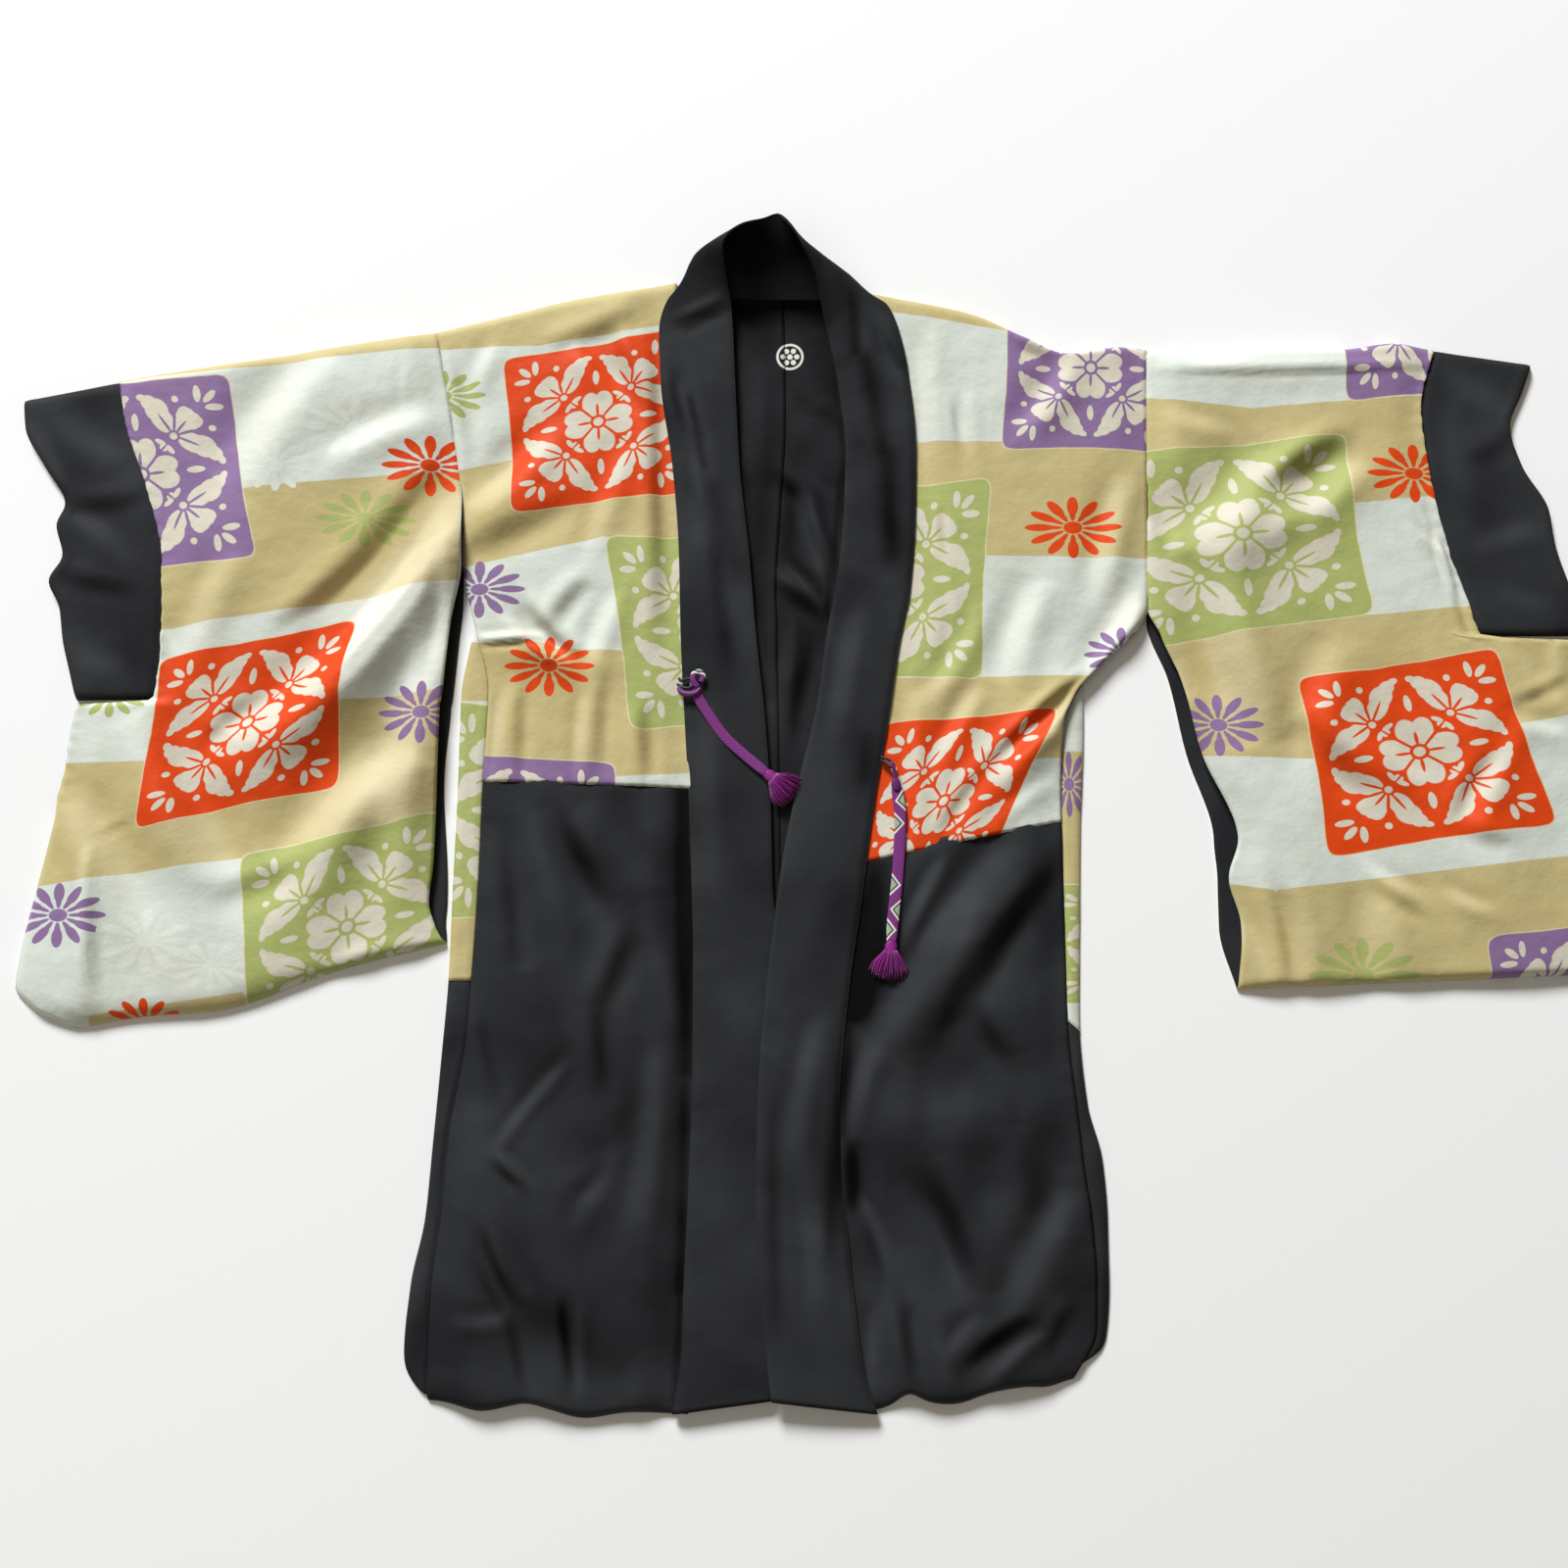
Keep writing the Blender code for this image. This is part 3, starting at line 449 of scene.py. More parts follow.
# bands are the corners of yellow areas on white, squares the corners of each figured square,
# blooms are colour, across, down, half width and half height
prints = {
    "sleeveLeft": {
        "bands": [
            [(-575, 66), (-290, 33), (-289, 54), (-574, 86)],
            [(-601, 194), (-269, 160), (-267, 256), (-595, 310)],
            [(-638, 407), (-439, 406), (-436, 484), (-632, 512)],
            [(-442, 368), (-261, 344), (-258, 456), (-437, 485)],
            [(-556, 611), (-432, 592), (-420, 645), (-555, 645)]],
        "squares": [
            ("purple", [(-631, 86), (-464, 77), (-433, 237), (-606, 258)]),
            ("orange", [(-512, 320), (-351, 285), (-363, 427), (-525, 463)]),
            ("green", [(-441, 482), (-277, 445), (-255, 598), (-430, 637)])],
        "blooms": [
            ("ghost", -357, 125, 42, 26), ("ghost", -420, 160, 32, 21),
            ("orange", -294, 157, 40, 25), ("green", -346, 203, 40, 24),
            ("purple", -295, 366, 36, 26), ("ghost", -512, 551, 42, 26),
            ("ghost", -459, 571, 34, 21), ("green", -550, 350, 33, 20),
            ("purple", -583, 531, 40, 26), ("orange", -512, 618, 32, 21)]},
    "frontLeft": {
        "bands": [
            [(-306, -10), (-210, -10), (-209, 53), (-291, 56)],
            [(-211, -10), (-83, -19), (-82, 30), (-210, 54)],
            [(-275, 161), (-147, 133), (-146, 217), (-273, 245)],
            [(-149, 133), (-72, 118), (-71, 228), (-148, 218)],
            [(-266, 307), (-191, 307), (-189, 440), (-262, 440)],
            [(-193, 312), (-60, 316), (-60, 414), (-191, 421)]],
        "squares": [
            ("orange", [(-236, 65), (-82, 33), (-75, 179), (-226, 200)]),
            ("green", [(-149, 217), (10, 211), (34, 374), (-126, 380)]),
            ("purple", [(-299, 393), (-136, 406), (-132, 555), (-295, 547)])],
        "blooms": [
            ("green", -285, 96, 36, 22), ("purple", -251, 262, 38, 24),
            ("orange", -192, 327, 37, 25)]},
    "gussetLeft": {
        "bands": [
            [(-322, 306), (-193, 306), (-192, 355), (-321, 355)],
            [(-316, 532), (-189, 532), (-188, 590), (-314, 590)]],
        "squares": [("green", [(-284, 354), (-120, 361), (-118, 537), (-284, 534)])],
        "blooms": []},
    "frontRight": {
        "bands": [
            [(74, -19), (192, -6), (191, 41), (74, 19)],
            [(73, 135), (318, 138), (316, 236), (73, 232)],
            [(64, 336), (250, 335), (235, 401), (64, 420)]],
        "squares": [
            ("purple", [(187, 0), (330, 0), (329, 146), (180, 144)]),
            ("green", [(7, 176), (173, 167), (163, 338), (0, 340)]),
            ("orange", [(82, 372), (226, 360), (158, 506), (49, 516)])],
        "blooms": [("orange", 239, 210, 40, 26), ("purple", 276, 317, 30, 22)]},
    "gussetRight": {
        "bands": [[(160, 397), (303, 397), (301, 505), (158, 505)]],
        "squares": [("green", [(213, 505), (374, 505), (375, 602), (213, 602)])],
        "blooms": [("purple", 232, 424, 21, 27)]},
    "sleeveRight": {
        "bands": [
            [(287, 96), (390, 108), (388, 156), (285, 156)],
            [(389, 108), (574, 93), (569, 179), (386, 200)],
            [(274, 298), (501, 283), (495, 405), (271, 400)],
            [(500, 283), (695, 261), (689, 358), (495, 395)],
            [(332, 501), (396, 511), (392, 614), (329, 614)],
            [(395, 511), (682, 477), (674, 614), (392, 614)]],
        "squares": [
            ("purple", [(465, -58), (619, -62), (616, 93), (468, 103)]),
            ("green", [(268, 145), (468, 129), (485, 284), (284, 316)]),
            ("orange", [(419, 336), (583, 311), (627, 458), (438, 486)]),
            ("purple", [(563, 548), (718, 524), (725, 668), (568, 691)])],
        "blooms": [
            ("orange", 523, 164, 40, 25), ("purple", 354, 376, 36, 26),
            ("green", 464, 579, 45, 30)]}}
# one eighth of the figured square, folded along its middles and diagonals: the square's half side
# is 1; x runs from its centre to the middle of a side, y toward the diagonal; ovals give their
# middle, half sizes and turn
squareFigure = {
    "size": 0.97, "pinch": 0.045, "rim": 1.17, "wobble": 0.03, "disc": 0.054, "discGap": 0.088,
    "seed": (0.375, 0.375), "seedSize": 0.038, "seedGap": 0.064,
    "marks": (
        ((0.238, 0.07), (0.14, 0.106), 8), ((0.18, 0.03), (0.115, 0.08), 0),
        ((0.555, 0), (0.092, 0.036), 0), ((0.565, 0.515), (0.118, 0.095), 45),
        ((0.615, 0.505), (0.08, 0.062), 30), ((0.48, 0.44), (0.07, 0.04), 45),
        ((0.565, 0.285), (0.165, 0.1), -32), ((0.665, 0.24), (0.13, 0.112), -44),
        ((0.752, 0.165), (0.086, 0.074), -52), ((0.81, 0.095), (0.058, 0.036), -68),
        ((0.325, 0.235), (0.062, 0.026), -58), ((0.275, 0.25), (0.034, 0.026), 45),
        ((0.77, 0.44), (0.037, 0.034), 0), ((0.786, 0.786), (0.086, 0.038), 45),
        ((0.822, 0.668), (0.09, 0.037), 1)),
    "cuts": (
        ((0.15, 0), (0.08, 0.017), 0), ((0.155, 0.155), (0.22, 0.015), 45),
        ((0.385, 0), (0.04, 0.013), 0), ((0.46, 0.46), (0.095, 0.015), 45),
        ((0.505, 0.315), (0.13, 0.014), -29), ((0.52, 0.405), (0.11, 0.016), 10))}
bloomFigure = {"petals": 12, "petal": ((0.70, 0.0), (0.30, 0.118)),
               "claw": ((0.46, 0.0), (0.24, 0.062)), "eye": 0.20}
# scales are per mm; plain weave, its threads 0.25 mm apart but drawn at 1.4 mm so slubs show
liningLook = {"roughness": 0.58, "specular": 0.25, "sheen": 0.05, "sheenRough": 0.5, "ior": 1.46,
              "threads": ((0.09, 0.75), (0.75, 0.07)), "crumple": 0.06, "crumpleRough": 0.55,
              "crumpleDepth": 0.45, "drift": 0.035,  # how the printed outlines wander
              "patches": 0.011,  # faint yellowed patches, 60 to 120 mm
              # where each tint starts and is full, and its most: pale is painted highlight, brown
              # is painted shade, both along the folds; stain is the yellowed patches
              "pale": ((0.4, 4.0), 0.35), "brown": ((-0.3, -4.0), 0.5),
              "stain": ((0.5, 0.78), 0.16)}


def liningMaterial(name):
    # washed lining silk, screen printed: flat opaque colours, a soft low sheen, faint age marks,
    # and painted shade and painted highlight along its folds
    made, tree, shader = newMaterial(name)
    colours = {key: linear(value) for key, value in printColours.items()}
    cloth = addNode(tree, "UVMap", uv_map="cloth")
    band = addNode(tree, "Attribute", output="Fac", attribute_name="band")
    ground = washed(tree, colours["white"], colours["yellow"], band, (-0.35, 0.35))
    paintedFoldLight = addNode(tree, "Attribute", output="Fac", attribute_name="fade")  # painted shade below 0 and painted highlight above 0, along the folds
    # painted highlight: paler where the fold tone is above 0
    ground = washed(tree, ground, colours["pale"], paintedFoldLight, *liningLook["pale"])
    # blooms
    bloom = addNode(tree, "UVMap", uv_map="bloom")
    wedge, radius = foldedTurns(tree, bloom, bloomFigure["petals"])
    petals = [shape(tree, wedge, *bloomFigure[key]) for key in ("petal", "claw")]
    flower = joined(tree, [filled(tree, petals, 1.0, 0.05),
                           filled(tree, [radius], bloomFigure["eye"], 0.015)], "MAXIMUM")
    bloomColour = addNode(tree, "Attribute", attribute_name="bloomColour")
    ground = addNode(tree, "Mix", flower, ground, bloomColour, data_type="RGBA")
    # figured squares
    figure = squareFigure
    drift = addNode(tree, "TexNoise", cloth, output="Color", Scale=liningLook["drift"], Detail=1.0)
    drift = addNode(tree, "VectorMath", drift, (0.5,) * 3, operation="SUBTRACT")
    square = addNode(tree, "VectorMath", drift, (figure["wobble"],) * 3,
                     addNode(tree, "UVMap", uv_map="square"), operation="MULTIPLY_ADD")
    folds = addNode(tree, "VectorMath", square, operation="ABSOLUTE")
    sides = addNode(tree, "SeparateXYZ", folds).node.outputs[:2]
    eighth = addNode(tree, "CombineXYZ", joined(tree, sides, "MAXIMUM"),
                     joined(tree, sides, "MINIMUM"))
    eighth = addNode(tree, "Mapping", eighth, Scale=(figure["size"],) * 3, vector_type="TEXTURE")
    powers = []
    for side, other in (sides, sides[::-1]):  # sides curve inward, so each corner stands out
        bow = addNode(tree, "Math", other, other, operation="MULTIPLY")
        bow = addNode(tree, "Math", bow, -figure["pinch"], figure["pinch"],
                      operation="MULTIPLY_ADD")
        reach = addNode(tree, "Math", side, bow, operation="ADD")
        powers.append(addNode(tree, "Math", reach, 16.0, operation="POWER"))
    total = addNode(tree, "Math", *powers, operation="ADD")
    rim = filled(tree, [total], figure["rim"], 0.1)  # the thin pale line a resist leaves
    ground = addNode(tree, "Mix", rim, ground, colours["rim"], data_type="RGBA")
    field = filled(tree, [total], 1.0, 0.1)
    squareColour = addNode(tree, "Attribute", attribute_name="squareColour")
    ground = addNode(tree, "Mix", field, ground, squareColour, data_type="RGBA")
    marks, cuts = ([shape(tree, eighth, *oval) for oval in figure[key]]
                   for key in ("marks", "cuts"))
    centre = addNode(tree, "VectorMath", eighth, operation="LENGTH")
    seed = shape(tree, eighth, figure["seed"], (1.0, 1.0))
    drawn = filled(tree, marks, 1.0, 0.05)
    for hole in (filled(tree, cuts, 1.0, 0.12), filled(tree, [centre], figure["discGap"], 0.004),
                 filled(tree, [seed], figure["seedGap"], 0.004)):
        drawn = addNode(tree, "Math", drawn, hole, operation="SUBTRACT", use_clamp=True)
    drawn = joined(tree, [drawn, filled(tree, [centre], figure["disc"], 0.004),
                          filled(tree, [seed], figure["seedSize"], 0.004)], "MAXIMUM")
    drawn = joined(tree, [drawn, field], "MINIMUM")
    ground = addNode(tree, "Mix", drawn, ground, colours["motif"], data_type="RGBA")
    # painted shade: browner where the fold tone is below 0; yellowed in patches
    ground = washed(tree, ground, colours["brown"], paintedFoldLight, *liningLook["brown"], "MULTIPLY")
    patches = addNode(tree, "TexNoise", cloth, Scale=liningLook["patches"], Detail=3.0,
                      Roughness=0.6)
    ground = washed(tree, ground, colours["stain"], patches, *liningLook["stain"], "MULTIPLY")
    setInputs(tree, shader, {
        "Base Color": ground, "Roughness": liningLook["roughness"],
        "Specular IOR Level": liningLook["specular"], "Sheen Weight": liningLook["sheen"],
        "Sheen Roughness": liningLook["sheenRough"], "IOR": liningLook["ior"],
        "Normal": wovenBump(tree, cloth, liningLook)})
    return made


# scales are per mm; threads drawn at about 1.2 mm so that they show
# lit and deep are the ends of the silk's colour, mixed by random clouds and by the painted shade
# and highlight of its folds; shaded darkens the back's silk as painted shade
silkLook = {"lit": "#3c3e42", "deep": "#08080b", "shaded": 0.62, "roughness": 0.6,
            "specular": 0.07, "paintedFoldLight": 0.12, "clouds": 0.009, "ior": 1.5,
            "threads": ((0.08, 0.9), (0.9, 0.08)), "crumple": 0.045, "crumpleRough": 0.5,
            "crumpleDepth": 0.4}
# plain white roundel: a ring round seven dots, sizes as shares of its half width
roundel = {"across": 5.0, "down": 61.0, "size": 11.4, "white": "#e4e4de", "ring": 0.92,
           "ringWidth": 0.085, "dots": (((0.50, 0.0), (0.20, 0.19)), ((0.0, 0.0), (0.20, 0.20)))}


def blackSilkMaterial(name, badge=False):
    # black-dyed plain silk crepe: near black, with a soft grey lustre where it turns to the light,
    # and painted shade and painted highlight along its folds
    made, tree, shader = newMaterial(name)
    cloth = addNode(tree, "UVMap", uv_map="cloth")
    cloud = addNode(tree, "TexNoise", cloth, Scale=silkLook["clouds"], Detail=2.0)
    cloudy = addNode(tree, "MapRange", cloud, 0.35, 0.65, 0.3, 0.7)
    paintedFoldLight = addNode(tree, "Attribute", output="Fac", attribute_name="fade")  # painted shade and painted highlight along the folds
    shade = addNode(tree, "Math", paintedFoldLight, silkLook["paintedFoldLight"], cloudy, operation="MULTIPLY_ADD",
                    use_clamp=True)
    share = silkLook["shaded"] if badge else 1.0  # painted shade: the back, seen inside the garment, is darker
    colour = addNode(tree, "Mix", shade, linear(silkLook["deep"], share),
                     linear(silkLook["lit"], share), data_type="RGBA")
    if badge:
        spot = addNode(tree, "Mapping", cloth, vector_type="TEXTURE",
                       Location=(roundel["across"], -roundel["down"], 0.0),
                       Scale=(roundel["size"], roundel["size"], 1.0))
        wedge, radius = foldedTurns(tree, spot, 6)
        dots = [shape(tree, wedge, *dot) for dot in roundel["dots"]]
        rim = addNode(tree, "Math", radius, roundel["ring"], operation="SUBTRACT")
        ring = addNode(tree, "Math", rim, operation="ABSOLUTE")
        mask = joined(tree, [filled(tree, dots, 1.0, 0.1),
                             filled(tree, [ring], roundel["ringWidth"], 0.03)], "MAXIMUM")
        colour = addNode(tree, "Mix", mask, colour, linear(roundel["white"]), data_type="RGBA")
    setInputs(tree, shader, {
        "Base Color": colour, "Roughness": silkLook["roughness"],
        "Specular IOR Level": silkLook["specular"], "IOR": silkLook["ior"],
        "Normal": wovenBump(tree, cloth, silkLook)})
    return made


liningSilk = liningMaterial("printedLiningSilk")
blackSilk = blackSilkMaterial("blackCrepeSilk")
blackSilkBadged = blackSilkMaterial("blackCrepeSilkWithRoundel", True)
print("cloth materials made")

# cloth: forms shared by every panel, and each panel's own creases
build = {"frontTop": 4.9, "sleeveTop": 7.0, "crown": 3.8, "roll": 7.0, "fade": 30.0, "wall": 1.1,
         "step": 4.0, "waveReach": 60.0, "lowest": 3.2, "sideSeam": (0.7, 4.0)}
# large folds of the lying cloth: from across, down, to across, down, half width, rise
forms = [
    (-262, 205, -480, 430, 30, 7), (-270, 300, -420, 560, 26, 5), (-552, 470, -566, 610, 16, 5),
    (-330, 90, -520, 300, 34, 4), (-245, 305, -150, 330, 15, 5), (-215, 440, -150, 600, 24, 4),
    (-110, 470, -130, 700, 24, 4), (-235, 700, -205, 900, 22, 5), (290, 285, 150, 455, 26, 8),
    (210, 470, 85, 640, 24, 6), (235, 690, 120, 880, 28, 6), (70, 800, 90, 900, 14, 5),
    (320, 75, 520, 66, 14, 3), (330, 320, 440, 560, 30, 6), (560, 330, 590, 560, 36, 5),
    (318, 120, 420, 260, 30, 4)]
# the way the sides of creases fall, how wide a crease is for its spread, and its slope
banks = {"across": -0.37, "down": -0.93, "wide": 1.3, "slope": 0.3, "turnUpWide": 1.5}
# creases: from across, down, to across, down, half width, steepness, sideways bend
creases = {
    "sleeveLeft": [
        (-267, 177, -439, 392, 20.8, 4.5, -14.4), (-284, 151, -403, 284, 12, -1.5, -6.4),
        (-295, 110, -379, 152, 12.8, 1.8, 4), (-563, 478, -560, 611, 4, 2.2, 2.4),
        (-555, 482, -551, 606, 7.2, -1.4, 1.6), (-317, 67, -317, 110, 3.2, 1.2, 1.6),
        (-316, 238, -274, 212, 4, 1, 1.6), (-558, 467, -527, 454, 3.2, -1.2, -1.6),
        (-475, 392, -425, 348, 8, -1.6, -3.2), (-513, 359, -451, 504, 19.2, 2.2, 9.6),
        (-395, 504, -304, 392, 22.4, 2.6, -11.2), (-454, 228, -490, 335, 14.4, 1.6, 6.4),
        (-386, 59, -456, 177, 20.8, 2, 8), (-290, 302, -316, 504, 17.6, 2.4, 8),
        (-525, 261, -503, 310, 4.8, 1.2, 2.4), (-589, 424, -520, 543, 16, 1.8, -4.8),
        (-279, 228, -289, 343, 7.2, 1.6, -3.2), (-419, 294, -324, 215, 7.2, -1.5, 3.2),
        (-470, 516, -373, 480, 11.2, -1.3, 4.8), (-331, 551, -369, 583, 9.6, 1.2, 1.6)],
    "cuffLeft": [
        (-606, 110, -550, 152, 14.4, 2, 4.8), (-595, 190, -529, 182, 8, -2, 3.2),
        (-596, 194, -551, 228, 9.6, 2.2, -3.2), (-598, 248, -541, 261, 7.2, -1.8, 2.4),
        (-588, 294, -546, 335, 12.8, 1.5, 4), (-630, 118, -602, 177, 8, 1.6, -2.4)],
    "frontLeft": [
        (-252, 306, -199, 304, 3, -4.5, 1), (-252, 301, -196, 299, 3.7, 3, 1),
        (-225, 286, -183, 321, 5.8, 3.3, 2), (-214, 271, -169, 317, 6, -3.3, 3),
        (-109, 34, -102, 294, 8, -2.4, 0), (-230, 347, -234, 420, 5.8, 2.4, 1),
        (-215, 343, -216, 420, 5.8, -1.7, 1), (-162, 343, -166, 420, 6, 2, 1),
        (-116, 360, -111, 420, 7, -2.4, 1), (-148, 335, -150, 416, 6, -1.4, 1),
        (-264, 195, -196, 128, 14, 2.4, 5), (-267, 228, -171, 178, 12, -1.4, 4),
        (-173, 47, -143, 94, 8, 1.8, 2), (-144, 34, -113, 111, 9, -2.1, 3),
        (-130, 136, -159, 228, 10, 1.4, 3), (-283, 51, -261, 153, 8, -1.7, -2),
        (-245, 51, -260, 94, 8, 1.7, 2), (-161, 253, -193, 294, 8, -2, 3),
        (-137, 261, -160, 335, 9, 1.8, 3), (-197, 53, -124, 24, 9, -1.5, 2)],
    "turnUpLeft": [
        (-102, 630, -116, 778, 7.9, 1.8, -2), (-189, 433, -143, 523, 7.9, -2.2, 2),
        (-154, 438, -106, 513, 9.6, 1.3, 2), (-125, 543, -149, 606, 6.6, -1.8, -2),
        (-149, 606, -143, 669, 5.7, -1.8, 2), (-211, 448, -191, 572, 14.9, 1, 0),
        (-228, 453, -216, 577, 7, -1.7, 0), (-245, 601, -227, 676, 5.7, -1.7, 2),
        (-171, 645, -228, 714, 3.9, 1.8, 2), (-228, 724, -208, 745, 3.1, -2.4, 1),
        (-225, 717, -200, 745, 3.5, 1.6, -1), (-236, 778, -208, 837, 3.5, -2.4, 2),
        (-224, 778, -199, 830, 3.9, 1.6, 2), (-240, 802, -218, 846, 3.1, -1.6, 1),
        (-175, 830, -166, 893, 3.1, -2.4, 1), (-161, 835, -158, 904, 3.5, 2, 1),
        (-192, 518, -151, 664, 7.9, 1.2, 2), (-164, 750, -140, 722, 5.3, -1.4, 2),
        (-113, 533, -90, 616, 6.1, 1.2, -2), (-215, 844, -202, 899, 3.5, -1.6, 1),
        (-261, 846, -215, 844, 4.4, 1.4, 3), (-197, 825, -133, 890, 13.1, -1, 2),
        (-131, 712, -164, 778, 6.1, 1.3, 3)],
    "frontRight": [
        (247, 333, 166, 406, 5.3, -3, 2.4), (255, 343, 175, 418, 7.2, 3, 2.4),
        (166, 406, 125, 464, 6.2, -2, 2.4), (292, 261, 241, 343, 12.8, 3.2, -4.8),
        (141, 102, 145, 135, 3.5, -1.5, 0.8), (129, 191, 131, 233, 3.5, -1.5, 0.8),
        (152, 93, 157, 152, 6.2, 1.4, 1.6), (133, 261, 138, 310, 5.3, 1.2, -1.6),
        (197, 46, 215, 61, 5.3, -2, 1.6), (238, 61, 196, 127, 11.2, 2, -4.8),
        (210, 253, 184, 343, 12.8, 2, 4.8), (161, 277, 112, 359, 9.6, 1.6, -4),
        (119, 42, 122, 161, 9.6, 1.8, 3.2), (285, 161, 258, 277, 11.2, 1.9, 4.8),
        (100, 343, 103, 472, 7.2, 1.5, -2.4), (160, 343, 119, 424, 8, 1.9, 3.2),
        (223, 416, 159, 464, 6.4, 1.2, 2.4)],
    "turnUpRight": [
        (129, 483, 93, 557, 4.4, 2.4, 2), (182, 471, 74, 635, 9.6, 2.2, 4),
        (70, 635, 53, 705, 5.3, 2.6, 3), (216, 491, 121, 626, 7.4, -2.6, 3),
        (136, 533, 121, 574, 4.8, -1.8, 2), (155, 601, 176, 645, 6.6, -1.8, 2),
        (108, 683, 181, 669, 17.5, 1.2, 4), (53, 710, 56, 762, 6.1, -2.6, 1),
        (58, 750, 94, 830, 3.9, 2, -3), (110, 726, 152, 830, 8.8, -2.4, -3),
        (95, 745, 130, 821, 5.3, 1.8, -3), (197, 698, 201, 783, 11.4, -1.8, 2),
        (228, 745, 176, 844, 10.5, 2, 3), (93, 835, 100, 890, 5.3, -2.2, 1),
        (73, 835, 69, 890, 3.9, 2.2, 1), (193, 844, 140, 883, 4.8, -2.4, 3),
        (204, 856, 158, 893, 3.9, 2, 3), (152, 844, 127, 874, 4.4, 1.6, 2),
        (64, 769, 80, 821, 3.5, -1.8, 2), (116, 858, 130, 895, 3.9, 1.6, 1),
        (226, 835, 206, 872, 5.3, -1.4, 2), (163, 557, 138, 606, 6.1, 1.3, 2)],
    "sleeveRight": [
        (308, 77, 538, 72, 3.2, -2, 2.4), (308, 68, 542, 64, 4.8, 1.4, 2.4),
        (411, 71, 470, 69, 2.4, -1.4, 1.6), (470, 127, 407, 177, 11.2, -1, 4.8),
        (483, 152, 430, 211, 12.8, 1.8, 4.8), (408, 144, 324, 228, 24, 2, -8),
        (528, 191, 558, 248, 3.2, 2, 3.2), (519, 211, 543, 233, 3.2, 1.3, -2.4),
        (544, 211, 564, 294, 4, 1.2, -2.4), (550, 253, 563, 310, 4.8, -1.2, 1.6),
        (583, 392, 540, 450, 7.2, -1.7, 3.2), (596, 376, 556, 464, 9.6, 1.8, 4.8),
        (348, 228, 391, 392, 19.2, 2.6, 8), (391, 508, 404, 583, 7.2, -1.5, -2.4),
        (403, 504, 420, 583, 9.6, 1.4, -2.4), (475, 504, 487, 583, 16, 1.5, 3.2),
        (348, 504, 385, 583, 8, 1.6, -3.2), (451, 302, 422, 424, 16, 1.4, 6.4),
        (595, 310, 637, 359, 8, 1.2, 3.2), (648, 228, 626, 343, 6.4, 1.2, 2.4),
        (319, 110, 376, 127, 8, 1.1, 2.4), (465, 136, 387, 184, 10, -2, 3),
        (447, 181, 391, 220, 11, 1.5, 3), (537, 214, 550, 261, 3.5, 2.4, 2),
        (544, 216, 559, 270, 3.5, -1.6, 2), (422, 366, 477, 432, 12, -2, 3),
        (464, 368, 517, 424, 12, 1.6, 3), (547, 460, 586, 472, 8, -1.4, 2),
        (471, 488, 513, 516, 6, 1.8, 2), (474, 504, 516, 532, 6, -1.4, 2),
        (529, 508, 571, 528, 6, 1.6, 2), (596, 356, 640, 335, 5, -2, 2),
        (592, 368, 637, 380, 7, 1.6, 2), (314, 302, 344, 368, 12, 1.5, 3),
        (334, 294, 352, 360, 9, -1.3, 3), (309, 178, 319, 261, 8, -1.2, 2)],
    "cuffRight": [
        (551, 59, 606, 110, 12.8, 1.8, 4.8), (571, 152, 609, 127, 8, -1.6, 2.4),
        (567, 228, 625, 211, 9.6, 1.8, -2.4), (590, 261, 633, 277, 8, 1.4, 2.4),
        (557, 93, 567, 228, 12.8, 1.2, 3.2)],
    "back": [
        (-6, 160, 13, 182, 6, -1.9, 1), (14, 178, 37, 240, 7, 2.9, 3),
        (28, 182, 46, 247, 6, -1.6, 3), (-8, 241, 28, 263, 6, 1.9, 2),
        (-4, 254, 28, 283, 6, -2.2, 2), (7, 290, -3, 361, 6, 1.6, 1),
        (21, 304, 7, 389, 6, -1.9, 1), (-25, 71, -25, 160, 10, 1.3, 1),
        (-39, 10, 43, 10, 12, -1.9, 0)],
    "collar": [
        (-96, 75, -69, 145, 7, -2.4, 2), (-87, 83, -60, 153, 7, 1.7, 2),
        (-92, 36, -49, 18, 5, -2.2, 1), (-89, 27, -50, 10, 4, 0.8, 1),
        (82, 34, 100, 75, 5, -2, 2), (71, 42, 89, 83, 6, 1.4, 2), (27, 610, 10, 717, 9, 1.7, 3),
        (10, 717, 27, 835, 9, 1.7, -3), (41, 623, 35, 802, 7, -1.7, -3),
        (-9, 670, -5, 854, 6, -1.4, 2), (60, 276, 42, 389, 9, 1.4, 2),
        (-60, 204, -42, 333, 8, -1.5, 2), (-66, 361, -58, 501, 10, 1.4, 2)]}
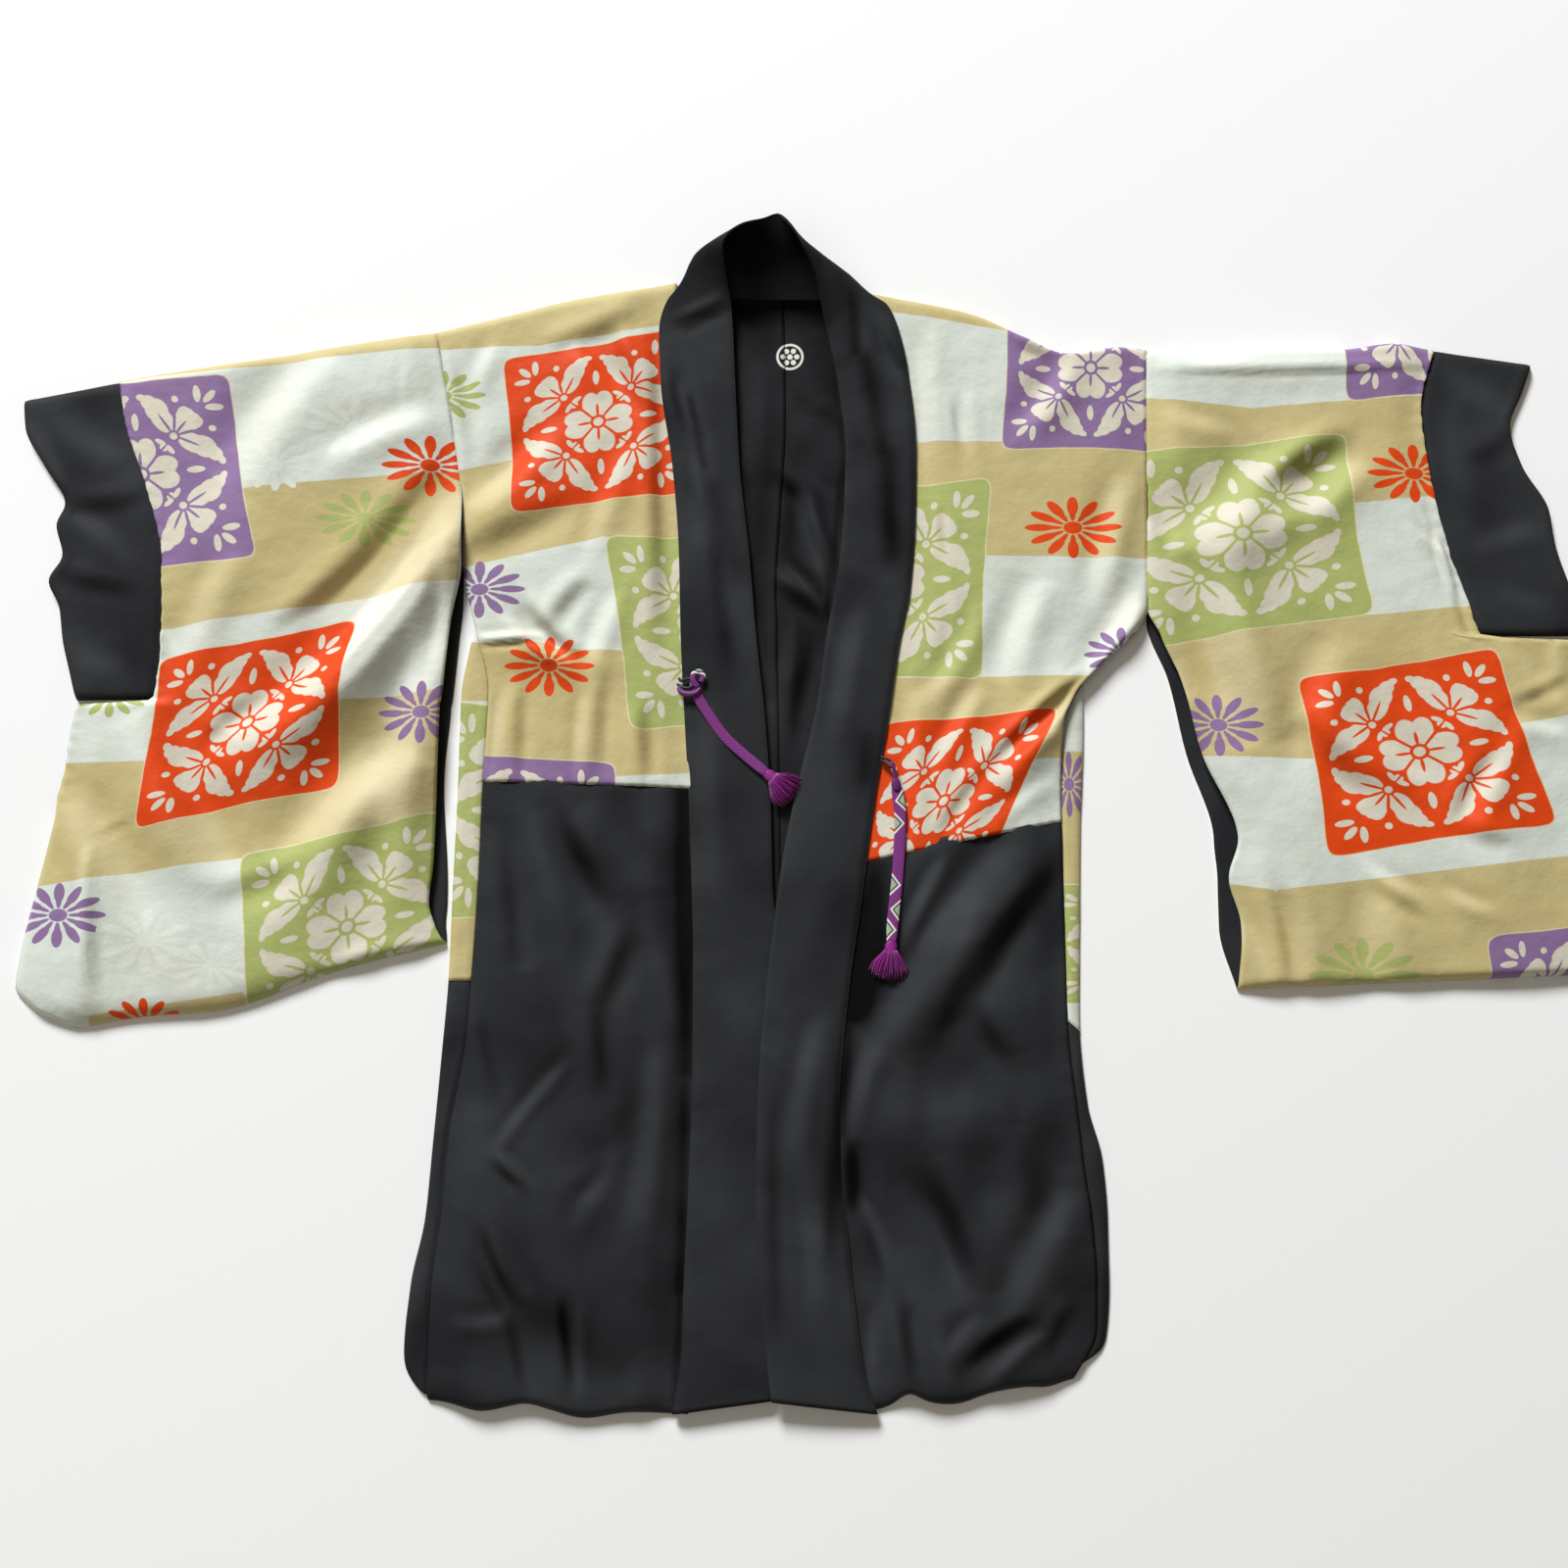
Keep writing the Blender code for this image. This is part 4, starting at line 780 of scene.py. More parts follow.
# broad painted shade, with a few painted highlights: from across, down, to across, down, half
# width, tone
paintedShading = {
    "turnUpLeft": [
        (-82, 423, -78, 654, 10.5, -5), (-79, 654, -81, 825, 6.3, -4),
        (-81, 825, -85, 909, 3.7, -3)],
    "turnUpRight": [
        (76, 493, 57, 606, 15.8, -5), (52, 606, 46, 702, 7.4, -3.5), (52, 712, 53, 759, 8.4, -2)],
    "collar": [
        (-30, -20, 10, -20, 26, -5), (-60, -21, -85, 20, 16.8, -2), (-44, 22, -83, 42, 3.1, -3),
        (-91, 47, -50, 118, 14, -0.5), (-86, 90, -70, 181, 4.5, 2.4),
        (-79, 100, -66, 158, 3.4, -3), (-60, 175, -36, 250, 9, -1.8),
        (-76, 195, -49, 271, 9.1, 0.8), (36, -3, 43, 57, 7, 2.6), (57, 15, 61, 60, 5.5, -3.2),
        (69, 66, 83, 146, 9, -3.4), (86, 146, 88, 233, 9, -3), (64, 140, 76, 146, 11, -1.2),
        (78, 29, 96, 81, 7, 1.6), (55, 240, 89, 255, 5.6, 0.8), (69, 389, 65, 420, 9, -2.5)],
    "back": [
        (-35, 8, 40, 18, 34, -4.5), (-42, 45, -2, 45, 22, -2.4), (20, 35, 42, 80, 18, -4),
        (-5, 58, 8, 73, 16, -1.6), (12, 100, 47, 115, 7, -3), (5, 178, 3, 227, 8, -3),
        (5, 231, 30, 262, 5, -3), (22, 200, 29, 245, 3.1, 4), (25, 168, 39, 179, 4.2, 2),
        (-14, 165, -21, 231, 9.1, -1.8), (10, 262, 32, 286, 3.5, -1.2),
        (3, 241, 28, 271, 1.8, 2.5), (-11, 248, -10, 365, 1.8, 1.6), (12, 289, 5, 371, 4.9, -1.6),
        (36, 37, 50, 144, 2.8, -3), (50, 151, 35, 283, 3.1, -3), (-33, 158, -15, 317, 3.1, -1.5)]}


def smoothStep(value):
    t = np.clip(value, 0.0, 1.0)
    return t * t * (3 - 2 * t)


def alongLine(line, across, down):
    # share of the way along a line, mm past its ends and mm to its side
    a0, d0, a1, d1 = line
    runA, runD = a1 - a0, d1 - d0
    length = np.hypot(runA, runD)
    ahead = ((across - a0) * runA + (down - d0) * runD) / length
    t = np.clip(ahead / length, 0.0, 1.0)
    return t, ahead - t * length, ((down - d0) * runA - (across - a0) * runD) / length


def alongCrease(crease, across, down):
    # a crease bends to one side, and is weaker toward its ends
    t, past, aside = alongLine(crease[:4], across, down)
    return past, aside - crease[6] * 4 * t * (1 - t), 0.2 + 0.8 * np.sin(pi * t) ** 0.7


def formHeight(across, down):
    height = np.zeros_like(across)
    for *line, spread, rise in forms:
        t, past, aside = alongLine(line, across, down)
        off = np.hypot(past, aside)
        height += rise * np.exp(-(off / spread) ** 2) * (0.35 + 0.65 * np.sin(pi * t))
    return height


def creaseHeight(group, across, down):
    # each crease is a bank: it falls toward the top of the cloth, or rises where steep is below 0
    height = np.zeros_like(across)
    for crease in creases[group]:
        a0, d0, a1, d1, spread, steep, bend = crease
        past, aside, strength = alongCrease(crease, across, down)
        towardTop = np.sign((a1 - a0) * banks["down"] - (d1 - d0) * banks["across"])
        wide = banks["wide"] * spread * (banks["turnUpWide"] if "turnUp" in group else 1.0)
        m = towardTop * aside / wide
        ends = np.exp(-(past / wide) ** 2) * strength
        height -= banks["slope"] * steep * wide * m * np.exp(-m * m) * ends
    return height


def paintedShadeAndHighlight(group, across, down):
    # each place's painted light: painted highlight above 0, painted shade below 0, from the creases
    # and the painted shading spots
    tone, deep, pale = (np.zeros_like(across) for _ in range(3))
    for crease in creases.get(group, []):
        spread, steep = crease[4:6]
        past, aside, strength = alongCrease(crease, across, down)
        m = aside / (banks["wide"] * spread)
        tone += steep * np.exp(-m * m) * np.exp(-(past / spread) ** 2) * strength
    for *line, spread, amount in paintedShading.get(group, []):
        t, past, aside = alongLine(line, across, down)
        here = amount * np.exp(-(np.hypot(past, aside) / spread) ** 2)
        deep, pale = np.minimum(deep, here), np.maximum(pale, here)
    return tone + deep + pale


def addPaintedShadeAndHighlight(mesh, group):
    # stores the painted shade and highlight on the points more than 1 mm up, as their fade
    # attribute
    spots = np.zeros(len(mesh.vertices) * 3)
    mesh.vertices.foreach_get("co", spots)
    x, y, z = spots.reshape(-1, 3).T / mm
    tone = paintedShadeAndHighlight(group, x + middle["across"], middle["down"] - y) * (z > 1.0)
    mesh.attributes.new("fade", "FLOAT", "POINT").data.foreach_set("value", tone)


def unevenness(across, down, seed, wide, amount, tall=None):
    # soft undulations of the cloth, as long as wide unless tall is given
    flat = np.array([noise.noise(Vector((a / wide, d / (tall or wide), seed)))
                     for a, d in zip(across.ravel(), down.ravel())])
    return amount * flat.reshape(across.shape)


def relief(look, group, across, down):
    # a panel's creases, then its unevenness as seed, width and height
    height = creaseHeight(group, across, down) * look.get("creased", 1.0)
    return sum((unevenness(across, down, *bump) for bump in look["bumps"]), height)


def seamRipple(look, station, fromSeam):
    # the cloth is uneven along a seam: seed, width, height and how far it reaches
    *bump, reach = look["ripple"]
    return unevenness(station, fromSeam * 0.2, *bump) * nearEdge(fromSeam, reach)


def keptAbove(height, low, soft=0.8):
    return low + soft * np.log1p(np.exp(np.clip((height - low) / soft, -30.0, 30.0)))


def edgeWaves(waves, share, fromEdge):
    # an edge's wander: share of the way along it, mm down, spread
    fade = np.clip(1 - fromEdge / build["waveReach"], 0.0, 1.0) ** 2
    return fade * sum((drop * np.exp(-((share - at) / spread) ** 2) for at, drop, spread in waves),
                      np.zeros_like(share))


def rounded(distance, reach=build["roll"], foot=0.2):
    # share of the height left toward a folded edge
    t = np.clip(distance / reach, 0.0, 1.0)
    return foot + (1 - foot) * np.sqrt(1 - (1 - t) ** 2)


def seamDip(distance, depth=1.3, reach=5.0):
    # deepest at the seam, gone at its reach
    return depth * (1 - smoothStep(distance / reach))


def nearEdge(distance, reach):
    return np.exp(-distance / reach)


rollLines = [build["roll"] * (1 - cos(pi / 2 * k / 5)) for k in range(5)]  # where a fold turns


def stationLines(start, end, rollStart=False, rollEnd=False, step=build["step"]):
    first = [start + r for r in rollLines] if rollStart else []
    last = [end - r for r in rollLines[::-1]] if rollEnd else []
    low = start + (build["roll"] if rollStart else 0.0)
    high = end - (build["roll"] if rollEnd else 0.0)
    even = np.linspace(low, high, max(2, ceil((high - low) / step) + 1))
    return np.concatenate([first, even, last])


def inSquare(corners, across, down):
    # place within a four-cornered figure, found in a few steps: both numbers run from -1 to 1
    c0, c1, c2, c3 = corners = np.array(corners, dtype=float)
    centre = corners.mean(axis=0)
    easeS, easeT, twist = (c1 + c2 - c0 - c3) / 4, (c2 + c3 - c0 - c1) / 4, (c0 + c2 - c1 - c3) / 4
    s, t = np.zeros_like(across), np.zeros_like(across)
    for _ in range(8):
        gapA = across - (centre[0] + easeS[0] * s + easeT[0] * t + twist[0] * s * t)
        gapD = down - (centre[1] + easeS[1] * s + easeT[1] * t + twist[1] * s * t)
        sa, sd = easeS[0] + twist[0] * t, easeS[1] + twist[1] * t
        ta, td = easeT[0] + twist[0] * s, easeT[1] + twist[1] * s
        area = sa * td - sd * ta
        s = np.clip(s + (gapA * td - gapD * ta) / area, -3.0, 3.0)
        t = np.clip(t + (gapD * sa - gapA * sd) / area, -3.0, 3.0)
    return s, t


def bandEdge(quads, across, down):
    # millimetres inside the nearest yellow band, below 0 outside all of them
    best = np.full_like(across, -30.0)
    for quad in quads:
        corners = np.array(quad, dtype=float)
        turn = np.sign(np.sum(corners[:, 0] * np.roll(corners[:, 1], -1)
                              - np.roll(corners[:, 0], -1) * corners[:, 1]))
        depth = np.full_like(across, 1e3)
        for (a0, d0), (a1, d1) in zip(corners, np.roll(corners, -1, axis=0)):
            over = (a1 - a0) * (down - d0) - (d1 - d0) * (across - a0)
            depth = np.minimum(depth, turn * over / np.hypot(a1 - a0, d1 - d0))
        best = np.maximum(best, depth)
    return np.clip(best, -30.0, 30.0)


def inFigure(where, across, down):
    # place within a figured square or a bloom, 0 in its middle and 1 at its edges
    if len(where) == 1:
        return inSquare(where[0], across, down)
    atAcross, atDown, halfWide, halfHigh = where
    return (across - atAcross) / halfWide, (down - atDown) / halfHigh


def addPrint(mesh, layout):
    # writes the print's own coordinates and colours on a mesh that has its cloth map in mm;
    # each face takes the square and the bloom nearest to its middle
    count = len(mesh.loops)
    flat = np.zeros(count * 2)
    mesh.uv_layers["cloth"].data.foreach_get("uv", flat)
    across, down = flat.reshape(-1, 2).T
    down = -down
    starts, totals = (np.zeros(len(mesh.polygons), dtype=int) for _ in range(2))
    mesh.polygons.foreach_get("loop_start", starts)
    mesh.polygons.foreach_get("loop_total", totals)
    midAcross, midDown = (np.repeat(np.add.reduceat(values, starts) / totals, totals)
                          for values in (across, down))
    for figure in ("square", "bloom"):
        uv, tone, nearest = np.full((count, 2), 3.0), np.ones((count, 4)), np.full(count, 1e9)
        for colour, *where in layout[figure + "s"]:
            s, t = inFigure(where, midAcross, midDown)
            far = np.maximum(np.abs(s), np.abs(t)) if figure == "square" else np.hypot(s, t)
            mine = far < nearest
            uv[mine] = np.stack(inFigure(where, across[mine], down[mine]), -1)
            tone[mine] = linear(printColours[colour])
            nearest[mine] = far[mine]
        mesh.uv_layers.new(name=figure).data.foreach_set("uv", uv.ravel())
        layer = mesh.attributes.new(figure + "Colour", "FLOAT_COLOR", "CORNER")
        layer.data.foreach_set("color", tone.ravel())
    layer = mesh.attributes.new("band", "FLOAT", "CORNER")
    layer.data.foreach_set("value", bandEdge(layout["bands"], across, down))


def clothPiece(name, node, slot, across, down, height, materials, flat, layout=None,
               closed=False, onCloth=None, wall=build["wall"], even=True, inner=0, held="laid",
               restsOn=(), group=None):
    # a sheet from a grid of places, given its wall downwards; inner is the lower side's material
    points = np.stack([(across - middle["across"]) * mm, (middle["down"] - down) * mm,
                       height * mm], -1)
    bm = gridMesh(points, np.stack([across, -down], -1) if onCloth is None else onCloth, closed)
    bm.normal_update()
    lift = sum(f.normal.z * f.calc_area() * f.calc_center_median().z for f in bm.faces)
    if lift < 0:
        bmesh.ops.reverse_faces(bm, faces=bm.faces[:])
    mesh = meshFrom(bm, name)
    if layout:
        addPrint(mesh, layout)
    addPaintedShadeAndHighlight(mesh, group)
    made = finishObject(name, mesh, [node], materials)
    thick = made.modifiers.new("wall", "SOLIDIFY")
    thick.thickness = wall * mm
    thick.offset = -1.0
    thick.use_even_offset = even
    thick.material_offset = inner
    thick.material_offset_rim = 0
    list(restsOn)


def placesOver(rows, lines, shares):
    # places over a panel: across, down, its width, the share of it and mm along the panel
    inA, inD, outA, outD = rowsAt(rows, lines).T[:4, :, None]
    share = np.asarray(shares)[None, :] if np.ndim(shares) == 1 else shares
    width = np.hypot(outA - inA, outD - inD)
    across, down = inA + (outA - inA) * share, inD + (outD - inD) * share
    share, station = (np.broadcast_to(v, across.shape) for v in (share, lines[:, None]))
    return across, down, width, share, station


def halfSpan(stations, panel, look, lining):
    # where a panel's lining or turn-up starts and ends, each lapping their seam, and the seam
    join = stations[panel["liningRows"]]
    if lining:
        return 0.0, join + look["liningLap"], join
    return join - look["turnUpLap"], stations[-1], join


def halfPanel(kind, side, lining, places, table, group=None):
    # the printed half of a front or gusset, or the black half turned up from the hem
    part = "Lining" if lining else "TurnUp"
    clothPiece(kind + part + side.title(), kind + ("_lining_" if lining else "_turn_up_") + side,
               "printed_lining" if lining else "black_silk", *places,
               [liningSilk if lining else blackSilk, blackSilk], table["flat" + part],
               prints[kind + side.title()] if lining else None, inner=1,
               restsOn=["back_" + side], group=group)


# fronts: the lining above, the black turn-up below
# rows: inner across, down, outer across, down, from the shoulder to the hem
fronts = {
    "left": {
        "rows": [
            (-91, -5, -292, 39), (-89, 93, -278, 113), (-80, 181, -267, 186),
            (-74, 261, -265, 240), (-71, 335, -252, 303), (-68, 375, -242, 347),
            (-65, 426, -245, 420), (-62, 520, -247, 500), (-60, 600, -251, 582),
            (-60, 665, -256, 640), (-63, 730, -266, 704), (-65, 795, -271, 769),
            (-67, 843, -277, 821), (-67, 880, -279, 872), (-75, 920, -278, 909)],
        "liningRows": 6, "sleeveEnd": 245, "shoulder": [(0.45, -3, 0.25)],
        "hem": [(0.4, 7, 0.12), (0.8, 6, 0.1), (0.62, -2, 0.06)],
        "flatLining": (0.215, 0.42, 0.078), "flatTurnUp": (0.225, 0.51, 0.101)},
    "right": {
        "rows": [
            (76, 5, 304, 54), (97, 93, 302, 131), (96, 177, 301, 202), (89, 261, 299, 278),
            (77, 335, 256, 329), (71, 365, 237, 350), (64, 402, 227, 379), (54, 488, 225, 453),
            (46, 556, 226, 530), (38, 620, 227, 614), (34, 690, 232, 677), (34, 745, 237, 729),
            (39, 790, 243, 767), (44, 843, 246, 813), (52, 887, 245, 854), (61, 918, 226, 893)],
        "liningRows": 7, "sleeveEnd": 280, "shoulder": [(0.69, 19, 0.16), (0.5, 4, 0.1)],
        "hem": [(0.22, -8, 0.07), (0.45, 5, 0.12), (0.88, 3, 0.08)],
        "flatLining": (0.235, 0.47, 0.086), "flatTurnUp": (0.215, 0.47, 0.086)}}
# gussets: down on the front's side seam, outer across, down
gussets = {
    "left": {
        "rows": [
            (303, -257, 301), (347, -265, 351), (420, -266, 424), (500, -268, 500),
            (582, -270, 582), (640, -274, 641), (704, -279, 708), (769, -284, 770),
            (821, -294, 821), (872, -298, 872), (907, -289, 911)],
        "liningRows": 4, "flatLining": (0.03, 0.28, 0.0065), "flatTurnUp": (0.03, 0.33, 0.0063)},
    "right": {
        "rows": [
            (350, 246, 340), (379, 245, 384), (453, 241, 460), (530, 239, 530), (614, 237, 622),
            (677, 242, 680), (729, 253, 725), (767, 256, 770), (813, 256, 821), (854, 253, 860),
            (891, 235, 891)],
        "liningRows": 4, "flatLining": (0.025, 0.28, 0.0048), "flatTurnUp": (0.023, 0.28, 0.0041)}}
# columns over a front, mm between its lines, the part that lies flat under the collar, how far
# the seam of lining and turn-up laps each of them, and the turn-up's long billows
frontBuild = {"columns": 70, "step": 3.0, "tucked": 16.0, "liningLap": 1.6, "turnUpLap": 5.0,
              "bumps": ((3.1, 46.0, 0.9), (8.7, 19.0, 0.35)), "ripple": (5.0, 9.0, 0.5, 9.0),
              "billow": (7.3, 38.0, 3.0, 110.0), "stitch": 1.6,
              "underArm": 1.2, "underSide": 0.15, "lift": 2.5, "puff": (1.6, 14.0, 12.0),
              "seam": (0.6, 2.5), "underSeam": (1.5, 9.0)}


def frontCloth(side, lining):
    front = fronts[side]
    rows, stations = front["rows"], stationsOf(front["rows"])
    start, end, join = halfSpan(stations, front, frontBuild, lining)
    lines = stationLines(start, end, lining, not lining, frontBuild["step"])
    lines = np.concatenate([[0.0], lines] if lining else [lines, [end]])
    shares = np.linspace(0.0, 1.0, frontBuild["columns"])
    across, down, width, share, station = placesOver(rows, lines, shares)
    under = np.where(down[:, -1] < front["sleeveEnd"], frontBuild["underArm"],
                     frontBuild["underSide"])  # what runs under at the side seam
    across[:, -1] += under * (-1 if side == "left" else 1)
    inner, outer = share * width - frontBuild["tucked"], (1 - share) * width
    fromEnd = end - station
    down = down + edgeWaves(front["shoulder"], share, station)
    down = down + edgeWaves(front["hem"], share, stations[-1] - station)
    group = ("front" if lining else "turnUp") + side.title()
    free = smoothStep(inner / build["fade"])
    height = build["frontTop"] + build["crown"] * free * smoothStep(outer / build["fade"]) \
        + formHeight(across, down) * free + relief(frontBuild, group, across, down) \
        * smoothStep(inner / 12 + 0.6) * smoothStep(outer / 10 + 0.25)
    if not lining:
        height = height + unevenness(across, down, *frontBuild["billow"]) \
            * smoothStep(inner / 30) * smoothStep(outer / 25) \
            + frontBuild["lift"] * smoothStep((station - join) / 60) * smoothStep(outer / 40) * free
    height = keptAbove(height, build["lowest"])
    height = height - seamDip(outer, *build["sideSeam"]) + seamRipple(frontBuild, station, outer)
    if lining:  # gathered a little along the seam
        stitches = np.sin(across / frontBuild["stitch"])
        height = height * rounded(station) + 0.18 * nearEdge(fromEnd, 7) * (1 + stitches) \
            + 0.5 * nearEdge(fromEnd, 25) - seamDip(fromEnd, *frontBuild["seam"])
        down = down + 0.22 * nearEdge(fromEnd, 3) * stitches
        height[0] = 0.0
    else:  # under the seam, then puffed along the folded hem
        puff, middleOfPuff, reach = frontBuild["puff"]
        puff = puff * np.exp(-((fromEnd - middleOfPuff) / reach) ** 2)
        height = height - seamDip(station - start, *frontBuild["underSeam"])
        height = (height + puff * (1 + 0.5 * np.sin(across / 23))) * rounded(fromEnd, foot=0.12)
        height[-1] = 0.3
    halfPanel("front", side, lining, (across, down, height), front, group)


def roundedCorner(across, down, outer, toHem, reach):
    # pulls a square corner of a panel in to an arc
    a = np.clip(1 - outer / reach, 0.0, 1.0)
    b = np.clip(1 - toHem / reach, 0.0, 1.0)
    inA = reach * a * (1 - np.sqrt(1 - b * b / 2))
    inB = reach * b * (1 - np.sqrt(1 - a * a / 2))
    way = np.sign(across[0, -1] - across[0, 0])
    return across - way * inA, down - inB


gussetBuild = {"columns": 8, "liningLap": 1.2, "turnUpLap": 4.0, "corner": 24.0,
               "bump": (4.4, 24.0, 0.9), "underSeam": (1.2, 8.0)}


def gussetCloth(side, lining):
    gusset = gussets[side]
    rows = beside(fronts[side]["rows"], gusset["rows"])
    start, end, join = halfSpan(stationsOf(rows), gusset, gussetBuild, lining)
    lines = stationLines(start, end, rollEnd=not lining)
    width = placesOver(rows, lines, [0.0])[2]
    reach = np.minimum(build["roll"], 0.8 * width)
    turn = np.array(rollLines)[None, ::-1] / build["roll"]
    flatPart = np.linspace(0.0, 1.0, gussetBuild["columns"])[None, :] * (width - reach) / width
    share = np.concatenate([flatPart, 1 - turn * reach / width, np.ones_like(width)], axis=1)
    across, down, width, share, station = placesOver(rows, lines, share)
    outer, inner, fromEnd = (1 - share) * width, share * width, end - station
    if not lining:
        across, down = roundedCorner(across, down, outer, fromEnd, gussetBuild["corner"])
    height = build["frontTop"] \
        + unevenness(across, down, *gussetBuild["bump"]) * smoothStep(inner / 8)
    if not lining:
        height = height + 0.5 * np.sin(down / 15 + across / 6) * smoothStep(inner / 6)
    height = height * rounded(outer, reach) - seamDip(inner)
    if lining:
        height = height + 0.5 * nearEdge(fromEnd, 6)
    else:
        height = height - seamDip(station - start, *gussetBuild["underSeam"])
        height = height * rounded(fromEnd, foot=0.15)
    height[:, -1] = 0.0
    halfPanel("gusset", side, lining, (across, down, np.maximum(height, 0.0)), gusset)


for side in ("left", "right"):
    for lining in (False, True):
        frontCloth(side, lining)
        gussetCloth(side, lining)
print("fronts and gussets made")

# sleeves: a flat tube each, lining outside, black inside; the last column is how far the
# back layer shows past the front layer at the open inner edge
sleeves = {
    "left": {
        "rows": [
            (-292, 39, -557, 82, 0), (-278, 113, -549, 122, 0), (-267, 186, -529, 177, 0),
            (-265, 240, -514, 237, 0), (-273, 291, -512, 300, 7), (-279, 355, -516, 354, 7),
            (-280, 360, -579, 359, 7), (-281, 416, -586, 415, 4), (-283, 488, -603, 500, 10),
            (-286, 520, -615, 560, 14), (-281, 538, -618, 588, 8), (-276, 548, -603, 606, 4),
            (-272, 553, -566, 621, 0)],
        "top": [], "hem": [(0.58, 12, 0.2)], "flat": (0.3, 1.12, 0.31)},
    "right": {
        "rows": [
            (304, 54, 545, 57, 0), (302, 131, 532, 110, 0), (301, 202, 542, 194, 0),
            (299, 278, 565, 277, 0), (309, 300, 573, 301, 8), (311, 306, 661, 306, 8),
            (324, 335, 662, 335, 9), (340, 400, 666, 408, 11), (367, 469, 668, 472, 18),
            (359, 501, 671, 504, 8), (368, 539, 674, 535, 17), (364, 590, 668, 577, 0)],
        "top": [(0.22, 10, 0.16), (0.86, -7, 0.12)], "hem": [], "flat": (0.3, 1.1, 0.308)}}
# cuff facings: down on the sleeve's seam, folded outer edge across, down
cuffs = {
    "left": {
        "rows": [
            (83, -636, 99), (122, -633, 124), (159, -615, 157), (187, -597, 189),
            (207, -603, 207), (227, -597, 232), (252, -607, 254), (277, -597, 277),
            (302, -593, 303), (335, -586, 330), (353, -580, 354)],
        "flat": (0.088, 0.54, 0.0457)},
    "right": {
        "rows": [
            (57, 627, 68), (92, 617, 95), (123, 606, 123), (152, 614, 155), (194, 635, 195),
            (223, 638, 221), (252, 647, 254), (281, 654, 275), (300, 656, 300)],
        "flat": (0.088, 0.52, 0.0438)}}
# an even run of columns as wide as the narrowest row, then the rest, and mm between lines
sleeveBuild = {"columns": 74, "edgeColumns": 24, "step": 3.3, "spare": 8.0, "first": 0.2,
               "wall": 0.9, "bumps": ((1.7, 44.0, 1.0), (6.2, 18.0, 0.35)),
               "ripple": (2.0, 9.0, 0.6, 9.0), "edgeBump": (4.7, 5.5, 0.9), "stitch": 1.9,
               "armhole": (1.5, 25.0), "facingSeam": (0.5, 2.0)}
# a facing runs under the sleeve's edge, and is creased less than its table says
cuffBuild = {"columns": 30, "under": -0.05, "wall": 1.2, "creased": 0.45,
             "bumps": ((9.3, 38.0, 1.0),), "innerSeam": (1.8, 6.0), "hand": (1.0, 4.0),
             "lower": 0.6}


def sleeveCloth(side):
    sleeve = sleeves[side]
    rows, stations = sleeve["rows"], stationsOf(sleeve["rows"])
    length = stations[-1]
    group = "sleeve" + side.title()
    lines = stationLines(0.0, length, True, True, sleeveBuild["step"])
    row, first = rowsAt(rows, lines), sleeveBuild["first"]
    width = placesOver(rows, lines, [0.0])[2]
    kept = min(np.hypot(r[2] - r[0], r[3] - r[1]) for r in rows) - sleeveBuild["spare"]
    even = np.linspace(first, kept, sleeveBuild["columns"])[None, :] + 0 * width
    rest = np.linspace(0.0, 1.0, sleeveBuild["edgeColumns"] + 1)[None, 1:]
    columns = np.concatenate([even, kept + (width - first - kept) * rest], axis=1)
    facingEnd = 0.95 * cuffs[side]["rows"][-1][0]
    layers = []
    for layer in ("front", "back"):
        strip = row[:, 4:5] if layer == "back" else 0.0
        inner = columns - strip * (1 - columns / width)
        across, down, width, share, station = placesOver(rows, lines, inner / width)
        down = down + edgeWaves(sleeve["top"], share, station) \
            + edgeWaves(sleeve["hem"], share, length - station)
        height = np.zeros_like(across)
        if layer == "front":
            outer = width - inner
            stitched = nearEdge(outer, 2.5) * smoothStep((facingEnd - station) / 20)
            across = across \
                + unevenness(station, 0 * station, *sleeveBuild["edgeBump"]) * stitched
            ends = smoothStep(outer / build["fade"]) * smoothStep(inner / build["fade"])
            height = build["sleeveTop"] + build["crown"] * ends + formHeight(across, down) \
                + relief(sleeveBuild, group, across, down)
            sewnOn = 1 - smoothStep((station - stations[3]) / 30)
            height = height - sewnOn * seamDip(inner, *sleeveBuild["armhole"])
            height = keptAbove(height, build["lowest"])
            closedUp = smoothStep((station - facingEnd) / 20)  # past the facing the edge is sewn
            height = height * rounded(station) * rounded(length - station) \
                * (1 - closedUp * (1 - rounded(outer, foot=0.1)))
            stitches = 0.9 + 0.5 * np.sin(station / sleeveBuild["stitch"])
            height = height - seamDip(inner, *build["sideSeam"]) \
                + seamRipple(sleeveBuild, station, inner) \
                + stitches * nearEdge(outer, 6) * (1 - closedUp) \
                - seamDip(outer, *sleeveBuild["facingSeam"])
        layers.append((across, down, np.maximum(height, 0.0)))
    tube = [np.concatenate([front[::-1], back, front[-1:]]) for front, back in zip(*layers)]
    clothPiece(group, "sleeve_" + side, "printed_lining", *tube, [liningSilk, blackSilk],
               sleeve["flat"], prints[group], closed=True, wall=sleeveBuild["wall"], inner=1,
               group=group)


